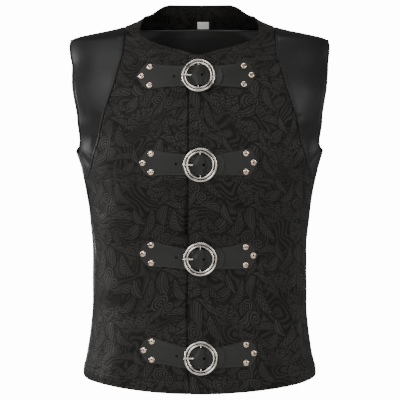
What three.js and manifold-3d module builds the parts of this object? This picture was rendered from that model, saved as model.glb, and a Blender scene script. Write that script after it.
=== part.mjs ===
// A sleeveless medieval vest of brocade and leather, closed by four buckled straps, in its worn form.
// Millimetres. The origin is the middle of the neck base, level with the neck ends of the shoulder seams.
// +X is the wearer's left, -Y is the front and +Z is up.
import * as THREE from "three";
import { mergeVertices } from "three/addons/utils/BufferGeometryUtils.js";
import Module from "manifold-3d";

const wasm = await Module();
wasm.setup();

// Thicknesses and clearances
const BROCADE = 1.2;
const LEATHER = 1.5;
const LINING = 0.8;
const FACING = 1.0;
const STRAP = 1.6;
const BUCKLE_STRAP = 1.4;
const GAP = 0.3;
const STRAP_SEAT = 0.65; // under the straps, which bridge the cloth's small hollows
const SEAM_INSET = 0.25; // each side of a seam, along the cloth
const RIDGE_INSET = 0.15; // each side of a shoulder seam

// Heights of the cut
const BACK_NECK_TOP = 22;
const SHOULDER_TIP = -44;
const ARMHOLE_BOTTOM = -240;
const LEATHER_TIP = -285;
const NECK_BOTTOM = -71;
const FACING_EDGE = -18;
const SIDE_HEM = -632;
const FRONT_HEM_DROP = 16;
const BACK_HEM_DROP = 6;
const HEM_CURVE_START = -540;

// The side seams lie a little in front of the widest line. Angles run round the body:
// 0 is the wearer's left side, 90 the centre front, 180 the right side and 270 the centre back.
const DEGREE = Math.PI / 180;
const SIDE_SEAM = 15 * DEGREE;
const GIRTH_PER_DEGREE = 3.05;

// Level sections of the hollow form, from the back neck down to the hem
const SECTIONS = [
  { z: 24, half_width: 84, front: 36, back: 62, square: 2.1 },
  { z: 0, half_width: 95, front: 38, back: 68, square: 2.15 },
  { z: -19, half_width: 132, front: 58, back: 80, square: 2.2 },
  { z: -44, half_width: 226, front: 73, back: 92, square: 2.25 },
  { z: -80, half_width: 233, front: 88, back: 104, square: 2.3 },
  { z: -133, half_width: 247, front: 104, back: 114, square: 2.3 },
  { z: -181, half_width: 238, front: 113, back: 118, square: 2.3 },
  { z: -223, half_width: 220, front: 118, back: 118, square: 2.3 },
  { z: -240, half_width: 217, front: 119, back: 117, square: 2.3 },
  { z: -270, half_width: 208, front: 119, back: 115, square: 2.3 },
  { z: -349, half_width: 194, front: 114, back: 106, square: 2.3 },
  { z: -413, half_width: 190, front: 109, back: 99, square: 2.3 },
  { z: -504, half_width: 190, front: 112, back: 101, square: 2.3 },
  { z: -550, half_width: 194, front: 116, back: 106, square: 2.3 },
  { z: -590, half_width: 200, front: 120, back: 111, square: 2.3 },
  { z: -624, half_width: 207, front: 123, back: 115, square: 2.3 },
  { z: -660, half_width: 209, front: 124, back: 117, square: 2.3 },
];

// Cut edges seen from the front, as half widths from the centre line
const NECKLINE = [
  { z: 0, x: 95 },
  { z: -8, x: 99 },
  { z: -18, x: 102 },
  { z: -28, x: 102 },
  { z: -37, x: 97 },
  { z: -44, x: 88 },
  { z: -50, x: 74 },
  { z: -55, x: 57 },
  { z: -60, x: 38 },
  { z: -66, x: 16 },
  { z: -70, x: 1 },
  { z: NECK_BOTTOM, x: -19 },
];
const OVERLAP_EDGE = [
  { z: NECK_BOTTOM, x: -19 },
  { z: -142, x: -19 },
  { z: -224, x: -19 },
  { z: -350, x: -23 },
  { z: -449, x: -20 },
  { z: -522, x: -21 },
  { z: -660, x: -18 },
];
const BACK_NECK = [
  { z: 0, x: 95 },
  { z: 5, x: 84 },
  { z: 12, x: 75 },
  { z: 18, x: 66 },
  { z: BACK_NECK_TOP, x: 54 },
];
const LEATHER_SEAM = [
  { z: -19, x: 132 },
  { z: -35, x: 130.5 },
  { z: -68, x: 132.5 },
  { z: -92, x: 139 },
  { z: -118, x: 146 },
  { z: -148, x: 156.5 },
  { z: -190, x: 169 },
  { z: -214, x: 175 },
  { z: -248, x: 184 },
  { z: -266, x: 189.5 },
  { z: -278, x: 195 },
  { z: LEATHER_TIP, x: 199.6 },
];

// Armhole, seen from the side: how far its front edge bows forward of a line from the shoulder tip to
// the side seam, and how far its back edge bows behind the shoulder tip. Its lower edge is nearly level
// behind the side seam.
const ARMHOLE_FRONT = 42;
const ARMHOLE_BACK = 62;
const ARMHOLE_SEAM_Y = -33;
const ARMHOLE_LEVEL_FROM = 0.95;
const ARMHOLE_FRONT_BOW = { skew: 1.1, fullness: 0.8 };
const ARMHOLE_BACK_BOW = { skew: 0.95, fullness: 0.45 };

// The lower edge of the leather sweeps round the side from its tip before it climbs the back
const BACK_SWEEP_START = -248;
const BACK_SWEEP_POWER = 1.25;

// The wearer's left front lies over the right one, and is lifted by its thickness there
const OVERLAP_LIFT = BROCADE + GAP;
const LIFT_FULL_TO = 26;
const LIFT_GONE_AT = 74;
const UPPER_FRONT_FROM = -22.4; // the upper front's edge where straps cross it

// Soft creases: from one angle and height to another, with half width and rise out of the cloth
const CREASE_TAPER = 0.8;
const CREASES = [
  { from: 152, from_z: -486, to: 120, to_z: -530, width: 19, rise: -4.5 },
  { from: 150, from_z: -458, to: 124, to_z: -498, width: 20, rise: 2.8 },
  { from: 113, from_z: -524, to: 99, to_z: -548, width: 14, rise: -2.2 },
  { from: 56, from_z: -470, to: 66, to_z: -500, width: 13, rise: -2.4 },
  { from: 47, from_z: -480, to: 45, to_z: -612, width: 17, rise: -4.5 },
  { from: 57, from_z: -500, to: 55, to_z: -618, width: 16, rise: 2.6 },
  { from: 32, from_z: -505, to: 33, to_z: -625, width: 17, rise: 3.2 },
  { from: 144, from_z: -216, to: 130, to_z: -238, width: 13, rise: -2.4 },
  { from: 48, from_z: -206, to: 36, to_z: -236, width: 13, rise: -2.6 },
  { from: 150, from_z: -278, to: 134, to_z: -322, width: 15, rise: -2.2 },
  { from: 30, from_z: -282, to: 44, to_z: -330, width: 15, rise: -2.0 },
  { from: 132, from_z: -548, to: 136, to_z: -628, width: 18, rise: 3.0 },
  { from: 8, from_z: -380, to: 22, to_z: -430, width: 17, rise: -2.6 },
  { from: 172, from_z: -372, to: 160, to_z: -424, width: 17, rise: -2.4 },
  { from: 342, from_z: -430, to: 306, to_z: -470, width: 20, rise: -3.6 },
  { from: 196, from_z: -424, to: 232, to_z: -468, width: 20, rise: -3.8 },
  { from: 238, from_z: -378, to: 222, to_z: -416, width: 17, rise: 2.4 },
  { from: 300, from_z: -392, to: 318, to_z: -432, width: 17, rise: 2.2 },
  { from: 250, from_z: -500, to: 244, to_z: -626, width: 20, rise: 4.0 },
  { from: 284, from_z: -488, to: 289, to_z: -626, width: 20, rise: -3.4 },
  { from: 310, from_z: -520, to: 314, to_z: -628, width: 18, rise: 3.2 },
  { from: 222, from_z: -530, to: 220, to_z: -628, width: 17, rise: -3.0 },
  { from: 226, from_z: -232, to: 214, to_z: -282, width: 17, rise: -2.0 },
  { from: 313, from_z: -236, to: 325, to_z: -290, width: 17, rise: -1.8 },
];

// The four strap sets, at the buckles' centres, with how far each strap's end stands above the buckle
const STRAP_SETS = [
  { name: "1", x: -2, z: -107, billet_rise: 0, buckle_rise: 2 },
  { name: "2", x: 1, z: -256, billet_rise: 3, buckle_rise: 4 },
  { name: "3", x: 1, z: -417, billet_rise: 8, buckle_rise: 5 },
  { name: "4", x: 2, z: -586, billet_rise: 12, buckle_rise: 7 },
];
const STRAP_HALF = 17.5;
const STRAP_LEVEL_TO = 18; // from the buckle to where a strap starts to rise
const STRAP_BEND_REACH = 70;

// Half width of the riveted straps along their length, measured from the buckle
const BILLET_OUTLINE = [
  { x: -107, half: 0 },
  { x: -87, half: 22.5 },
  { x: -84, half: 22.8 },
  { x: -60, half: 19.6 },
  { x: -30, half: 18 },
  { x: -20, half: STRAP_HALF },
  { x: 30, half: STRAP_HALF },
  { x: 35, half: 15.6 },
  { x: 39, half: 10.5 },
  { x: 41.5, half: 0 },
];
const BUCKLE_STRAP_OUTLINE = [
  { x: -6, half: 16 },
  { x: 12, half: 16.5 },
  { x: 22, half: 18 },
  { x: 36, half: 18.5 },
  { x: 60, half: 20.5 },
  { x: 80, half: 23 },
  { x: 83, half: 22.6 },
  { x: 99, half: 0 },
];

// Height of the billet strap's middle line over the cloth as it passes the buckle: at its edges it
// dives sooner under the round frame than in its middle
const BILLET_HEIGHT = [
  { x: -107, edge: 1.35, middle: 1.35 },
  { x: -32, edge: 1.35, middle: 1.35 },
  { x: -27, edge: 1.8, middle: 1.8 },
  { x: -22, edge: 2.9, middle: 2.9 },
  { x: -19, edge: 3.1, middle: 3.1 },
  { x: -17, edge: 3.1, middle: 3.9 },
  { x: -14, edge: 3.2, middle: 7.2 },
  { x: -11, edge: 3.8, middle: 10.2 },
  { x: -8, edge: 6.6, middle: 11.4 },
  { x: -5, edge: 9.4, middle: 11.7 },
  { x: -2.5, edge: 10.9, middle: 11.7 },
  { x: 0, edge: 11.4, middle: 11.6 },
  { x: 2.5, edge: 11.1, middle: 11.3 },
  { x: 5.5, edge: 9.3, middle: 10.4 },
  { x: 9, edge: 6.1, middle: 8.3 },
  { x: 12, edge: 4.65, middle: 6.2 },
  { x: 16, edge: 4.6, middle: 4.6 },
  { x: 20, edge: 4.6, middle: 4.6 },
  { x: 42, edge: 4.55, middle: 4.55 },
];

// Buckle: a round frame with a stepped face, a middle bar and a prong
const FRAME_OUTER = 29;
const FRAME_STEP = 24.2;
const FRAME_INNER = 20.5;
const FRAME_THICK = 3.4;
const FRAME_STEP_THICK = 2.2;
const FRAME_UNDERSIDE = 5.95;
const FRAME_ROUNDING = 1.3;
const FRAME_INNER_FALL = 0.4;
const FRAME_TILT = 0.05;
const FRAME_SEGMENTS = 28;
const BAR_RADIUS = 1.5;
const BAR_HEIGHT = 6.9;
const BAR_ROOT = 1.2; // each end's length inside the frame
const LOOP_CLEARANCE = 0.5;
const LOOP_RADIUS = BAR_RADIUS + LOOP_CLEARANCE + BUCKLE_STRAP / 2;
const PRONG_RADIUS = 1.5;
const PRONG_EYE_HALF = 2.4;
const PRONG_EYE_RADIUS = 3.2;
const PRONG_EYE_BORE = 1.9;
const PRONG_CLEARANCE = 0.5;
const PRONG_SLOT = { along: 14, across: 6.4, through: 16 };
const HOLE_RADIUS = 2.1;
const PUNCH = { length: 30, lift: 6 };
const BILLET_HOLES = [-41, 6];

// Domed rivets with a dimple, three at each riveted strap end
const RIVET_RADIUS = 5.2;
const RIVET_HEIGHT = 2.4;
const RIVET_RIM = 0.7;
const RIVET_CROWN = 0.5; // the crown's radius, as a share of the rivet's
const RIVET_DIMPLE = 0.6;
const RIVET_SEAT = 0.6;
const RIVET_SEGMENTS = 9;
const BILLET_RIVETS = [
  { name: "upper", x: -83, z: 15.5 },
  { name: "tip", x: -97, z: 0 },
  { name: "lower", x: -83, z: -15.5 },
];
const BUCKLE_STRAP_RIVETS = [
  { name: "upper", x: 77, z: 15.5 },
  { name: "tip", x: 90, z: 0 },
  { name: "lower", x: 77, z: -15.5 },
];

// The neck facing lies inside the back, and the lining hangs loose a little further in
const FACING_LIFT = -3.3;
const FACING_TRIM = 0.6; // how far it stays inside the back's neck edge
const FACING_SIDE = 2.5 * DEGREE;
const LINING_LIFT = -3.7;
const LINING_SLACK = { most: 4.6, from: 10, full: 36 };
const LINING_SPARSE = -100;
const LINING_TOP = FACING_EDGE - 3 * GAP;
const LINING_HEM = SIDE_HEM + 12;
const LINING_EDGE = 5 * DEGREE;

// Folded blank label at the lower edge of the neck facing
const LABEL = { from_x: -4, to_x: 17, top: -5, bottom: -17, thick: 0.8, gap: 3 * GAP };

const MATERIALS = {
  brocade: { color: 0x1d1a18, roughness: 0.55, metalness: 0 },
  leather: { color: 0x17171a, roughness: 0.42, metalness: 0 },
  strap: { color: 0x2c2e2b, roughness: 0.5, metalness: 0 },
  lining: { color: 0x141214, roughness: 0.4, metalness: 0 },
  label: { color: 0xe8e6e0, roughness: 0.7, metalness: 0 },
  metal: { color: 0xc9c5bd, roughness: 0.2, metalness: 1 },
};

const vest = new THREE.Group();

function addMesh(name, geometry, material, parent = vest) {
  geometry.computeVertexNormals();
  const mesh = new THREE.Mesh(geometry, new THREE.MeshStandardMaterial(MATERIALS[material]));
  mesh.name = name;
  parent.add(mesh);
  return mesh;
}

// A smooth curve through one column of a table, with no overshoot between its rows
function columnCurve(table, key, column) {
  const rows = [...table].sort((a, b) => a[key] - b[key]);
  const slopes = rows.slice(1).map((row, i) => (row[column] - rows[i][column]) / (row[key] - rows[i][key]));
  const tangents = rows.map((row, i) => {
    const before = slopes[i - 1];
    const after = slopes[i];
    if (before === undefined) return after;
    if (after === undefined) return before;
    return before * after <= 0 ? 0 : (2 * before * after) / (before + after);
  });
  return (at) => {
    const value = THREE.MathUtils.clamp(at, rows[0][key], rows[rows.length - 1][key]);
    let i = 0;
    while (i < rows.length - 2 && value > rows[i + 1][key]) i += 1;
    const span = rows[i + 1][key] - rows[i][key];
    const t = (value - rows[i][key]) / span;
    const rise = 3 * t * t - 2 * t * t * t;
    const leaving = (t - 2 * t * t + t * t * t) * span * tangents[i];
    const arriving = (t * t * t - t * t) * span * tangents[i + 1];
    return rows[i][column] + (rows[i + 1][column] - rows[i][column]) * rise + leaving + arriving;
  };
}

const halfWidth = columnCurve(SECTIONS, "z", "half_width");
const frontDepth = columnCurve(SECTIONS, "z", "front");
const backDepth = columnCurve(SECTIONS, "z", "back");
const squareness = columnCurve(SECTIONS, "z", "square");
const necklineX = columnCurve(NECKLINE, "z", "x");
const overlapX = columnCurve(OVERLAP_EDGE, "z", "x");
const backNeckX = columnCurve(BACK_NECK, "z", "x");
const leatherSeamX = columnCurve(LEATHER_SEAM, "z", "x");

// How far the hem line is lowered at an angle, growing from nothing at the start of the hem's curve
function hemDrop(angle, z) {
  const reach = Math.max(0, (HEM_CURVE_START - z) / (HEM_CURVE_START - SIDE_HEM));
  const across = Math.sin(angle);
  const most = across > 0 ? FRONT_HEM_DROP * across ** 2 : BACK_HEM_DROP * across ** 2;
  return most * reach;
}

// A point of the smooth form at an angle and height
function formPoint(angle, z) {
  const across = Math.cos(angle);
  const deep = Math.sin(angle);
  const power = squareness(z);
  const reach = (Math.abs(across) ** power + Math.abs(deep) ** power) ** (-1 / power);
  const depth = deep > 0 ? frontDepth(z) : backDepth(z);
  return new THREE.Vector3(halfWidth(z) * reach * across, -depth * reach * deep, z - hemDrop(angle, z));
}

function formNormal(angle, z) {
  const turn = 0.004;
  const step = 1.5;
  const along = formPoint(angle + turn, z).sub(formPoint(angle - turn, z));
  const down = formPoint(angle, z - step).sub(formPoint(angle, z + step));
  return along.cross(down).normalize();
}

// The creases' rise out of the smooth form
function creaseRise(angle, z) {
  const degrees = (((angle / DEGREE) % 360) + 360) % 360;
  let total = 0;
  for (const crease of CREASES) {
    const runA = (crease.to - crease.from) * GIRTH_PER_DEGREE;
    const runZ = crease.to_z - crease.from_z;
    const turn = ((degrees - crease.from + 540) % 360) - 180;
    const offA = turn * GIRTH_PER_DEGREE;
    const offZ = z - crease.from_z;
    const length = Math.hypot(runA, runZ);
    const t = (offA * runA + offZ * runZ) / (length * length);
    if (t <= 0 || t >= 1) continue;
    const aside = (offA * runZ - offZ * runA) / length;
    total += crease.rise * Math.sin(Math.PI * t) ** CREASE_TAPER * Math.exp(-((aside / crease.width) ** 2));
  }
  return total;
}

// A point of the cloth, lifted off its outer face
function clothPoint(angle, z, lift) {
  return formPoint(angle, z).addScaledVector(formNormal(angle, z), lift + creaseRise(angle, z));
}

// The angle at which the front (or the back, mirrored by its caller) has a half width x at a height
function angleAtX(x, z) {
  const share = Math.min(Math.abs(x) / halfWidth(z), 1);
  if (share < 1e-6) return Math.PI / 2;
  const power = squareness(z);
  const angle = Math.atan((share ** -power - 1) ** (1 / power));
  return x >= 0 ? angle : Math.PI - angle;
}

// The angle at which the form stands a distance y forward of the side line, or behind it
function angleAtY(y, z) {
  const depth = y < 0 ? frontDepth(z) : backDepth(z);
  const share = Math.min(Math.abs(y) / depth, 0.999);
  const power = squareness(z);
  const angle = Math.atan((share ** power / (1 - share ** power)) ** (1 / power));
  return y < 0 ? angle : -angle;
}

// The share of the armhole's height that lies above a level
function armholeShare(z) {
  return THREE.MathUtils.clamp((SHOULDER_TIP - z) / (SHOULDER_TIP - ARMHOLE_BOTTOM), 0, 1);
}

// The outer boundaries of the front and back at the wearer's left, as angles at a height
function frontArmholeEdge(z) {
  if (z >= SHOULDER_TIP) return 0;
  if (z <= ARMHOLE_BOTTOM) return SIDE_SEAM;
  const t = armholeShare(z);
  const bow = Math.sin(Math.PI * t ** ARMHOLE_FRONT_BOW.skew) ** ARMHOLE_FRONT_BOW.fullness;
  return angleAtY(ARMHOLE_SEAM_Y * t - ARMHOLE_FRONT * bow, z);
}

function backArmholeEdge(z) {
  if (z >= SHOULDER_TIP) return 0;
  if (z <= ARMHOLE_BOTTOM) return SIDE_SEAM;
  const t = armholeShare(z);
  const toSeam = ARMHOLE_SEAM_Y * THREE.MathUtils.smoothstep(t, ARMHOLE_LEVEL_FROM, 1);
  const bow = Math.sin(Math.PI * t ** ARMHOLE_BACK_BOW.skew) ** ARMHOLE_BACK_BOW.fullness;
  return angleAtY(ARMHOLE_BACK * bow + toSeam, z);
}

function frontLeatherEdge(z) {
  if (z >= LEATHER_SEAM[0].z) return 0;
  if (z <= LEATHER_TIP) return SIDE_SEAM;
  return Math.max(angleAtX(leatherSeamX(z), z), z < ARMHOLE_BOTTOM ? SIDE_SEAM : 0);
}

function backLeatherEdge(z) {
  if (z >= LEATHER_SEAM[0].z) return 0;
  if (z <= LEATHER_TIP) return SIDE_SEAM;
  const level = Math.max(z, BACK_SWEEP_START);
  const climbed = -angleAtX(leatherSeamX(level), level);
  if (z >= BACK_SWEEP_START) return climbed;
  const t = (z - LEATHER_TIP) / (BACK_SWEEP_START - LEATHER_TIP);
  return THREE.MathUtils.lerp(SIDE_SEAM, climbed, t ** BACK_SWEEP_POWER);
}

// A closed sheet from a grid of points on two layers. Rows that shrink to a point are welded.
function closedSheet(rowCount, columnCount, pointAt) {
  const positions = [];
  const known = new Map();
  const vertex = (row, column, layer) => {
    const point = pointAt(row, column, layer);
    const key = point.toArray().map((value) => Math.round(value * 2000)).join(" ");
    if (!known.has(key)) {
      known.set(key, positions.length / 3);
      positions.push(...point.toArray());
    }
    return known.get(key);
  };
  const layers = [0, 1].map((layer) =>
    Array.from({ length: rowCount }, (_, row) =>
      Array.from({ length: columnCount }, (_unused, column) => vertex(row, column, layer)),
    ),
  );
  const faces = [];
  const triangle = (a, b, c) => {
    if (a !== b && b !== c && a !== c) faces.push(a, b, c);
  };
  const quad = (a, b, c, d) => {
    triangle(a, b, c);
    triangle(a, c, d);
  };
  const [outer, inner] = layers;
  for (let row = 0; row < rowCount - 1; row += 1) {
    for (let column = 0; column < columnCount - 1; column += 1) {
      quad(outer[row][column], outer[row + 1][column], outer[row + 1][column + 1], outer[row][column + 1]);
      quad(inner[row][column], inner[row][column + 1], inner[row + 1][column + 1], inner[row + 1][column]);
    }
  }
  const last = columnCount - 1;
  for (let row = 0; row < rowCount - 1; row += 1) {
    quad(outer[row][0], inner[row][0], inner[row + 1][0], outer[row + 1][0]);
    quad(outer[row + 1][last], inner[row + 1][last], inner[row][last], outer[row][last]);
  }
  const end = rowCount - 1;
  for (let column = 0; column < last; column += 1) {
    quad(outer[0][column + 1], inner[0][column + 1], inner[0][column], outer[0][column]);
    quad(outer[end][column], inner[end][column], inner[end][column + 1], outer[end][column + 1]);
  }
  return facingOut(positions, faces);
}

function facingOut(positions, faces) {
  const a = new THREE.Vector3();
  const b = new THREE.Vector3();
  const c = new THREE.Vector3();
  let volume = 0;
  for (let i = 0; i < faces.length; i += 3) {
    a.fromArray(positions, faces[i] * 3);
    b.fromArray(positions, faces[i + 1] * 3);
    c.fromArray(positions, faces[i + 2] * 3);
    volume += a.dot(b.cross(c)) / 6;
  }
  const geometry = new THREE.BufferGeometry();
  geometry.setAttribute("position", new THREE.Float32BufferAttribute(positions, 3));
  geometry.setIndex(volume < 0 ? faces.toReversed() : faces);
  return geometry;
}

// Row heights from top to bottom, crowded where edges turn quickly
const ROW_HEIGHTS = [
  22, 15, 7, 0, -10, -19, -27, -36, -44, -51, -60, -71, -90, -113, -139, -167, -194, -215, -231, -240,
  -252, -266, -276, -285, -309, -338, -368, -398, -428, -457, -485, -512, -539, -566, -592, -615, -632,
];

// The rows from one height to another, every second one below a level from which they may be sparser
function rowsBetween(top, bottom, sparseBelow = -Infinity) {
  const inside = ROW_HEIGHTS.filter((z) => z < top && z > bottom);
  const kept = inside.filter((z) => z > sparseBelow || ROW_HEIGHTS.indexOf(z) % 2 === 0);
  return [top, ...kept, bottom];
}

// A panel of cloth between two edge angles. side is 1 at the wearer's left and -1 at the right.
// The whole back has side 1 and edges on both sides. A crowd over 1 puts more columns near the start.
function panel({ rows, columns, startEdge, endEdge, side = 1, outerLift, thick, half, crowd = 1 }) {
  const turn = DEGREE;
  const place = (row, column, layer) => {
    const z = rows[row];
    const start = startEdge(z);
    const end = endEdge(z);
    const perRadian = formPoint(start + turn, z).distanceTo(formPoint(start, z)) / turn;
    const inset = (Math.sign(end - start) * SEAM_INSET) / perRadian;
    const narrow = Math.abs(end - start) < 3 * Math.abs(inset);
    const from = narrow ? (start + end) / 2 : start + inset;
    const to = narrow ? (start + end) / 2 : end - inset;
    const angle = THREE.MathUtils.lerp(from, to, (column / (columns - 1)) ** crowd);
    const trueAngle = side > 0 ? angle : Math.PI - angle;
    const lift = (outerLift ? outerLift(trueAngle, z) : 0) - (layer ? thick : 0);
    const point = clothPoint(trueAngle, z, lift);
    if (z >= SHOULDER_TIP) {
      if (half === "front") point.y = Math.min(point.y, -RIDGE_INSET);
      if (half === "back") point.y = Math.max(point.y, RIDGE_INSET);
    }
    return point;
  };
  return closedSheet(rows.length, columns, place);
}

// The lift of the upper front over the lower one, by its distance from the centre line
function overlapLift(x) {
  return OVERLAP_LIFT * (1 - THREE.MathUtils.smoothstep(x, LIFT_FULL_TO, LIFT_GONE_AT));
}

function addFront(name, side, outerLift) {
  const rows = rowsBetween(0, SIDE_HEM);
  const innerEdge = (z) => angleAtX(z > NECK_BOTTOM ? necklineX(z) : overlapX(z), z);
  const geometry = panel({
    rows,
    columns: 11,
    startEdge: frontLeatherEdge,
    endEdge: innerEdge,
    side,
    outerLift,
    thick: BROCADE,
    half: "front",
  });
  addMesh(name, geometry, "brocade");
}

addFront("front_left", 1, (angle, z) => overlapLift(formPoint(angle, z).x));
addFront("front_right", -1);

function addLeather(name, side, half) {
  const isFront = half === "front";
  const geometry = panel({
    rows: rowsBetween(LEATHER_SEAM[0].z, LEATHER_TIP),
    columns: 5,
    crowd: 1.35,
    startEdge: isFront ? frontArmholeEdge : backArmholeEdge,
    endEdge: isFront ? frontLeatherEdge : backLeatherEdge,
    side,
    thick: LEATHER,
    half,
  });
  addMesh(name, geometry, "leather");
}

addLeather("leather_front_left", 1, "front");
addLeather("leather_front_right", -1, "front");
addLeather("leather_back_left", 1, "back");
addLeather("leather_back_right", -1, "back");

// The back goes from the left edge round the back to the right edge, so its end angles are below zero
const acrossBack = (edge) => (z) => -Math.PI - edge(z);

const backOuterEdge = (z) => (z > 0 ? -angleAtX(backNeckX(z), z) : backLeatherEdge(z));
addMesh(
  "back",
  panel({
    rows: rowsBetween(BACK_NECK_TOP, SIDE_HEM),
    columns: 17,
    startEdge: backOuterEdge,
    endEdge: acrossBack(backOuterEdge),
    thick: BROCADE,
    half: "back",
  }),
  "brocade",
);

const facingEdge = (z) => (z > 0 ? -angleAtX(backNeckX(z) - FACING_TRIM, z) : -FACING_SIDE);
addMesh(
  "back_neck_facing",
  panel({
    rows: rowsBetween(BACK_NECK_TOP - FACING_TRIM, FACING_EDGE),
    columns: 10,
    startEdge: facingEdge,
    endEdge: acrossBack(facingEdge),
    outerLift: () => FACING_LIFT,
    thick: FACING,
    half: "back",
  }),
  "brocade",
);

const liningEdge = (z) => backArmholeEdge(z) - LINING_EDGE;
function liningSlack(z) {
  return LINING_SLACK.most * THREE.MathUtils.smoothstep(-z, LINING_SLACK.from, LINING_SLACK.full);
}
addMesh(
  "back_lining",
  panel({
    rows: rowsBetween(LINING_TOP, LINING_HEM, LINING_SPARSE),
    columns: 13,
    startEdge: liningEdge,
    endEdge: acrossBack(liningEdge),
    outerLift: (angle, z) => LINING_LIFT - liningSlack(z),
    thick: LINING,
    half: "back",
  }),
  "lining",
);

// The label hangs inside the facing from a fold at its lower edge
const LABEL_LIFT = FACING_LIFT - FACING - LABEL.gap;
addMesh(
  "label",
  closedSheet(3, 4, (row, column, layer) => {
    const z = THREE.MathUtils.lerp(LABEL.top, LABEL.bottom, row / 2);
    const x = THREE.MathUtils.lerp(LABEL.from_x, LABEL.to_x, column / 3);
    return clothPoint(-angleAtX(x, z), z, LABEL_LIFT - layer * LABEL.thick);
  }),
  "label",
);

// The angle and level of the fronts at a distance from the centre line and a true height, which the
// curve of the hem has lowered
function frontPlace(x, z) {
  const angle = angleAtX(x, z);
  const share = (FRONT_HEM_DROP * Math.sin(angle) ** 2) / (HEM_CURVE_START - SIDE_HEM);
  const level = z < HEM_CURVE_START ? (z + share * HEM_CURVE_START) / (1 + share) : z;
  return { angle: angleAtX(x, level), level };
}

function onFront(x, z, lift) {
  const { angle, level } = frontPlace(x, z);
  return clothPoint(angle, level, lift);
}

function frontNormal(x, z) {
  const { angle, level } = frontPlace(x, z);
  return formNormal(angle, level);
}

// The outer face of whichever front is on top
const frontFace = (x) => (x < UPPER_FRONT_FROM ? 0 : overlapLift(x));

// A group whose X runs along the strap, Y up the vest and Z out of the cloth
function hardwarePlace(x, z) {
  const group = new THREE.Group();
  const out = frontNormal(x, z);
  const along = new THREE.Vector3(1, 0, 0).addScaledVector(out, -out.x).normalize();
  const up = out.clone().cross(along);
  group.quaternion.setFromRotationMatrix(new THREE.Matrix4().makeBasis(along, up, out));
  group.position.copy(onFront(x, z, 0));
  vest.add(group);
  group.updateMatrixWorld(true);
  return group;
}

function solidOf(geometry, matrix = new THREE.Matrix4()) {
  const bare = (geometry.index ? geometry.toNonIndexed() : geometry.clone()).applyMatrix4(matrix);
  bare.deleteAttribute("normal");
  bare.deleteAttribute("uv");
  const merged = mergeVertices(bare, 1e-4);
  return new wasm.Manifold(
    new wasm.Mesh({
      numProp: 3,
      vertProperties: new Float32Array(merged.attributes.position.array),
      triVerts: new Uint32Array(merged.index.array),
    }),
  );
}

function geometryOf(solid) {
  const mesh = solid.getMesh();
  const geometry = new THREE.BufferGeometry();
  geometry.setAttribute("position", new THREE.Float32BufferAttribute(mesh.vertProperties, 3));
  geometry.setIndex(new THREE.Uint32BufferAttribute(mesh.triVerts, 1));
  return geometry;
}

// A strap as a ribbon. Its path has points with a distance x, a lift and a half width; the lift may
// depend on how far a point lies from the strap's middle line.
function ribbon(path, thick, centreZ, baseX) {
  const columns = 5;
  return closedSheet(path.length, columns, (row, column, layer) => {
    const aside = -1 + (2 * column) / (columns - 1);
    const crown = (1 - aside * aside) ** 2;
    const liftAt = (i) => THREE.MathUtils.lerp(path[i].edge, path[i].middle, crown);
    const before = Math.max(row - 1, 0);
    const after = Math.min(row + 1, path.length - 1);
    const tangent = new THREE.Vector2(path[after].x - path[before].x, liftAt(after) - liftAt(before));
    tangent.normalize();
    const off = thick * (layer ? -0.5 : 0.5);
    const x = path[row].x - tangent.y * off;
    const lift = liftAt(row) + tangent.x * off;
    const middle = centreZ(path[row].x);
    const lean = frontNormal(baseX + x, middle).z;
    const z = middle + aside * path[row].half * Math.sqrt(1 - lean * lean);
    return onFront(baseX + x, z, lift);
  });
}

const billetEdge = columnCurve(BILLET_HEIGHT, "x", "edge");
const billetMiddle = columnCurve(BILLET_HEIGHT, "x", "middle");
const billetHalf = columnCurve(BILLET_OUTLINE, "x", "half");
const buckleStrapHalf = columnCurve(BUCKLE_STRAP_OUTLINE, "x", "half");
const BILLET_STEPS = [
  -107, -97, -87, -60, -32, -26, -22, -19, -17, -14, -11, -8, -5, -2.5, 0, 2.5, 5.5, 9, 12, 16, 31, 37,
  40.5, 41.5,
];

// The straps' middle line: level with the buckle at x 0 and lifted towards the riveted ends
function strapCentre(set) {
  return (x) => {
    const rise = x < 0 ? set.billet_rise : set.buckle_rise;
    const share = THREE.MathUtils.smoothstep(Math.abs(x), STRAP_LEVEL_TO, STRAP_LEVEL_TO + STRAP_BEND_REACH);
    return set.z + rise * share;
  };
}

function billetPath() {
  return BILLET_STEPS.map((x) => ({ x, half: billetHalf(x), edge: billetEdge(x), middle: billetMiddle(x) }));
}

// The buckle strap lies on the front, climbs to the bar, wraps round it and ends under it
const BUCKLE_STRAP_STEPS = [99, 90, 83, 74, 60, 40, 24, 14];
const BUCKLE_STRAP_CLIMB = [
  { x: 11, lift: 3.0 },
  { x: 8.5, lift: 4.3 },
  { x: 6, lift: 6.4 },
  { x: 3.8, lift: 8.3 },
];
const WRAP = { from: 65, step: 32, steps: 8 }; // degrees round the bar

function buckleStrapPath(set) {
  const flat = BUCKLE_STRAP_STEPS.map((x) => {
    return { x, lift: frontFace(set.x + x) + STRAP_SEAT + BUCKLE_STRAP / 2 };
  });
  const wrap = Array.from({ length: WRAP.steps }, (_, i) => {
    const turned = (WRAP.from + i * WRAP.step) * DEGREE;
    return { x: LOOP_RADIUS * Math.cos(turned), lift: BAR_HEIGHT + LOOP_RADIUS * Math.sin(turned) };
  });
  return [...flat, ...BUCKLE_STRAP_CLIMB, ...wrap].map(({ x, lift }) => ({
    x,
    half: buckleStrapHalf(x),
    edge: lift,
    middle: lift,
  }));
}

// The prong's shaft, from its eye on the bar, up through the billet and over the frame
const PRONG_SHAFT = [
  { x: -2.2, lift: 8.1 },
  { x: -6, lift: 8.4 },
  { x: -10, lift: 8.6 },
  { x: -14, lift: 9.0 },
  { x: -18, lift: 9.55 },
  { x: -24, lift: 9.7 },
  { x: -29.5, lift: 9.5 },
];

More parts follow.
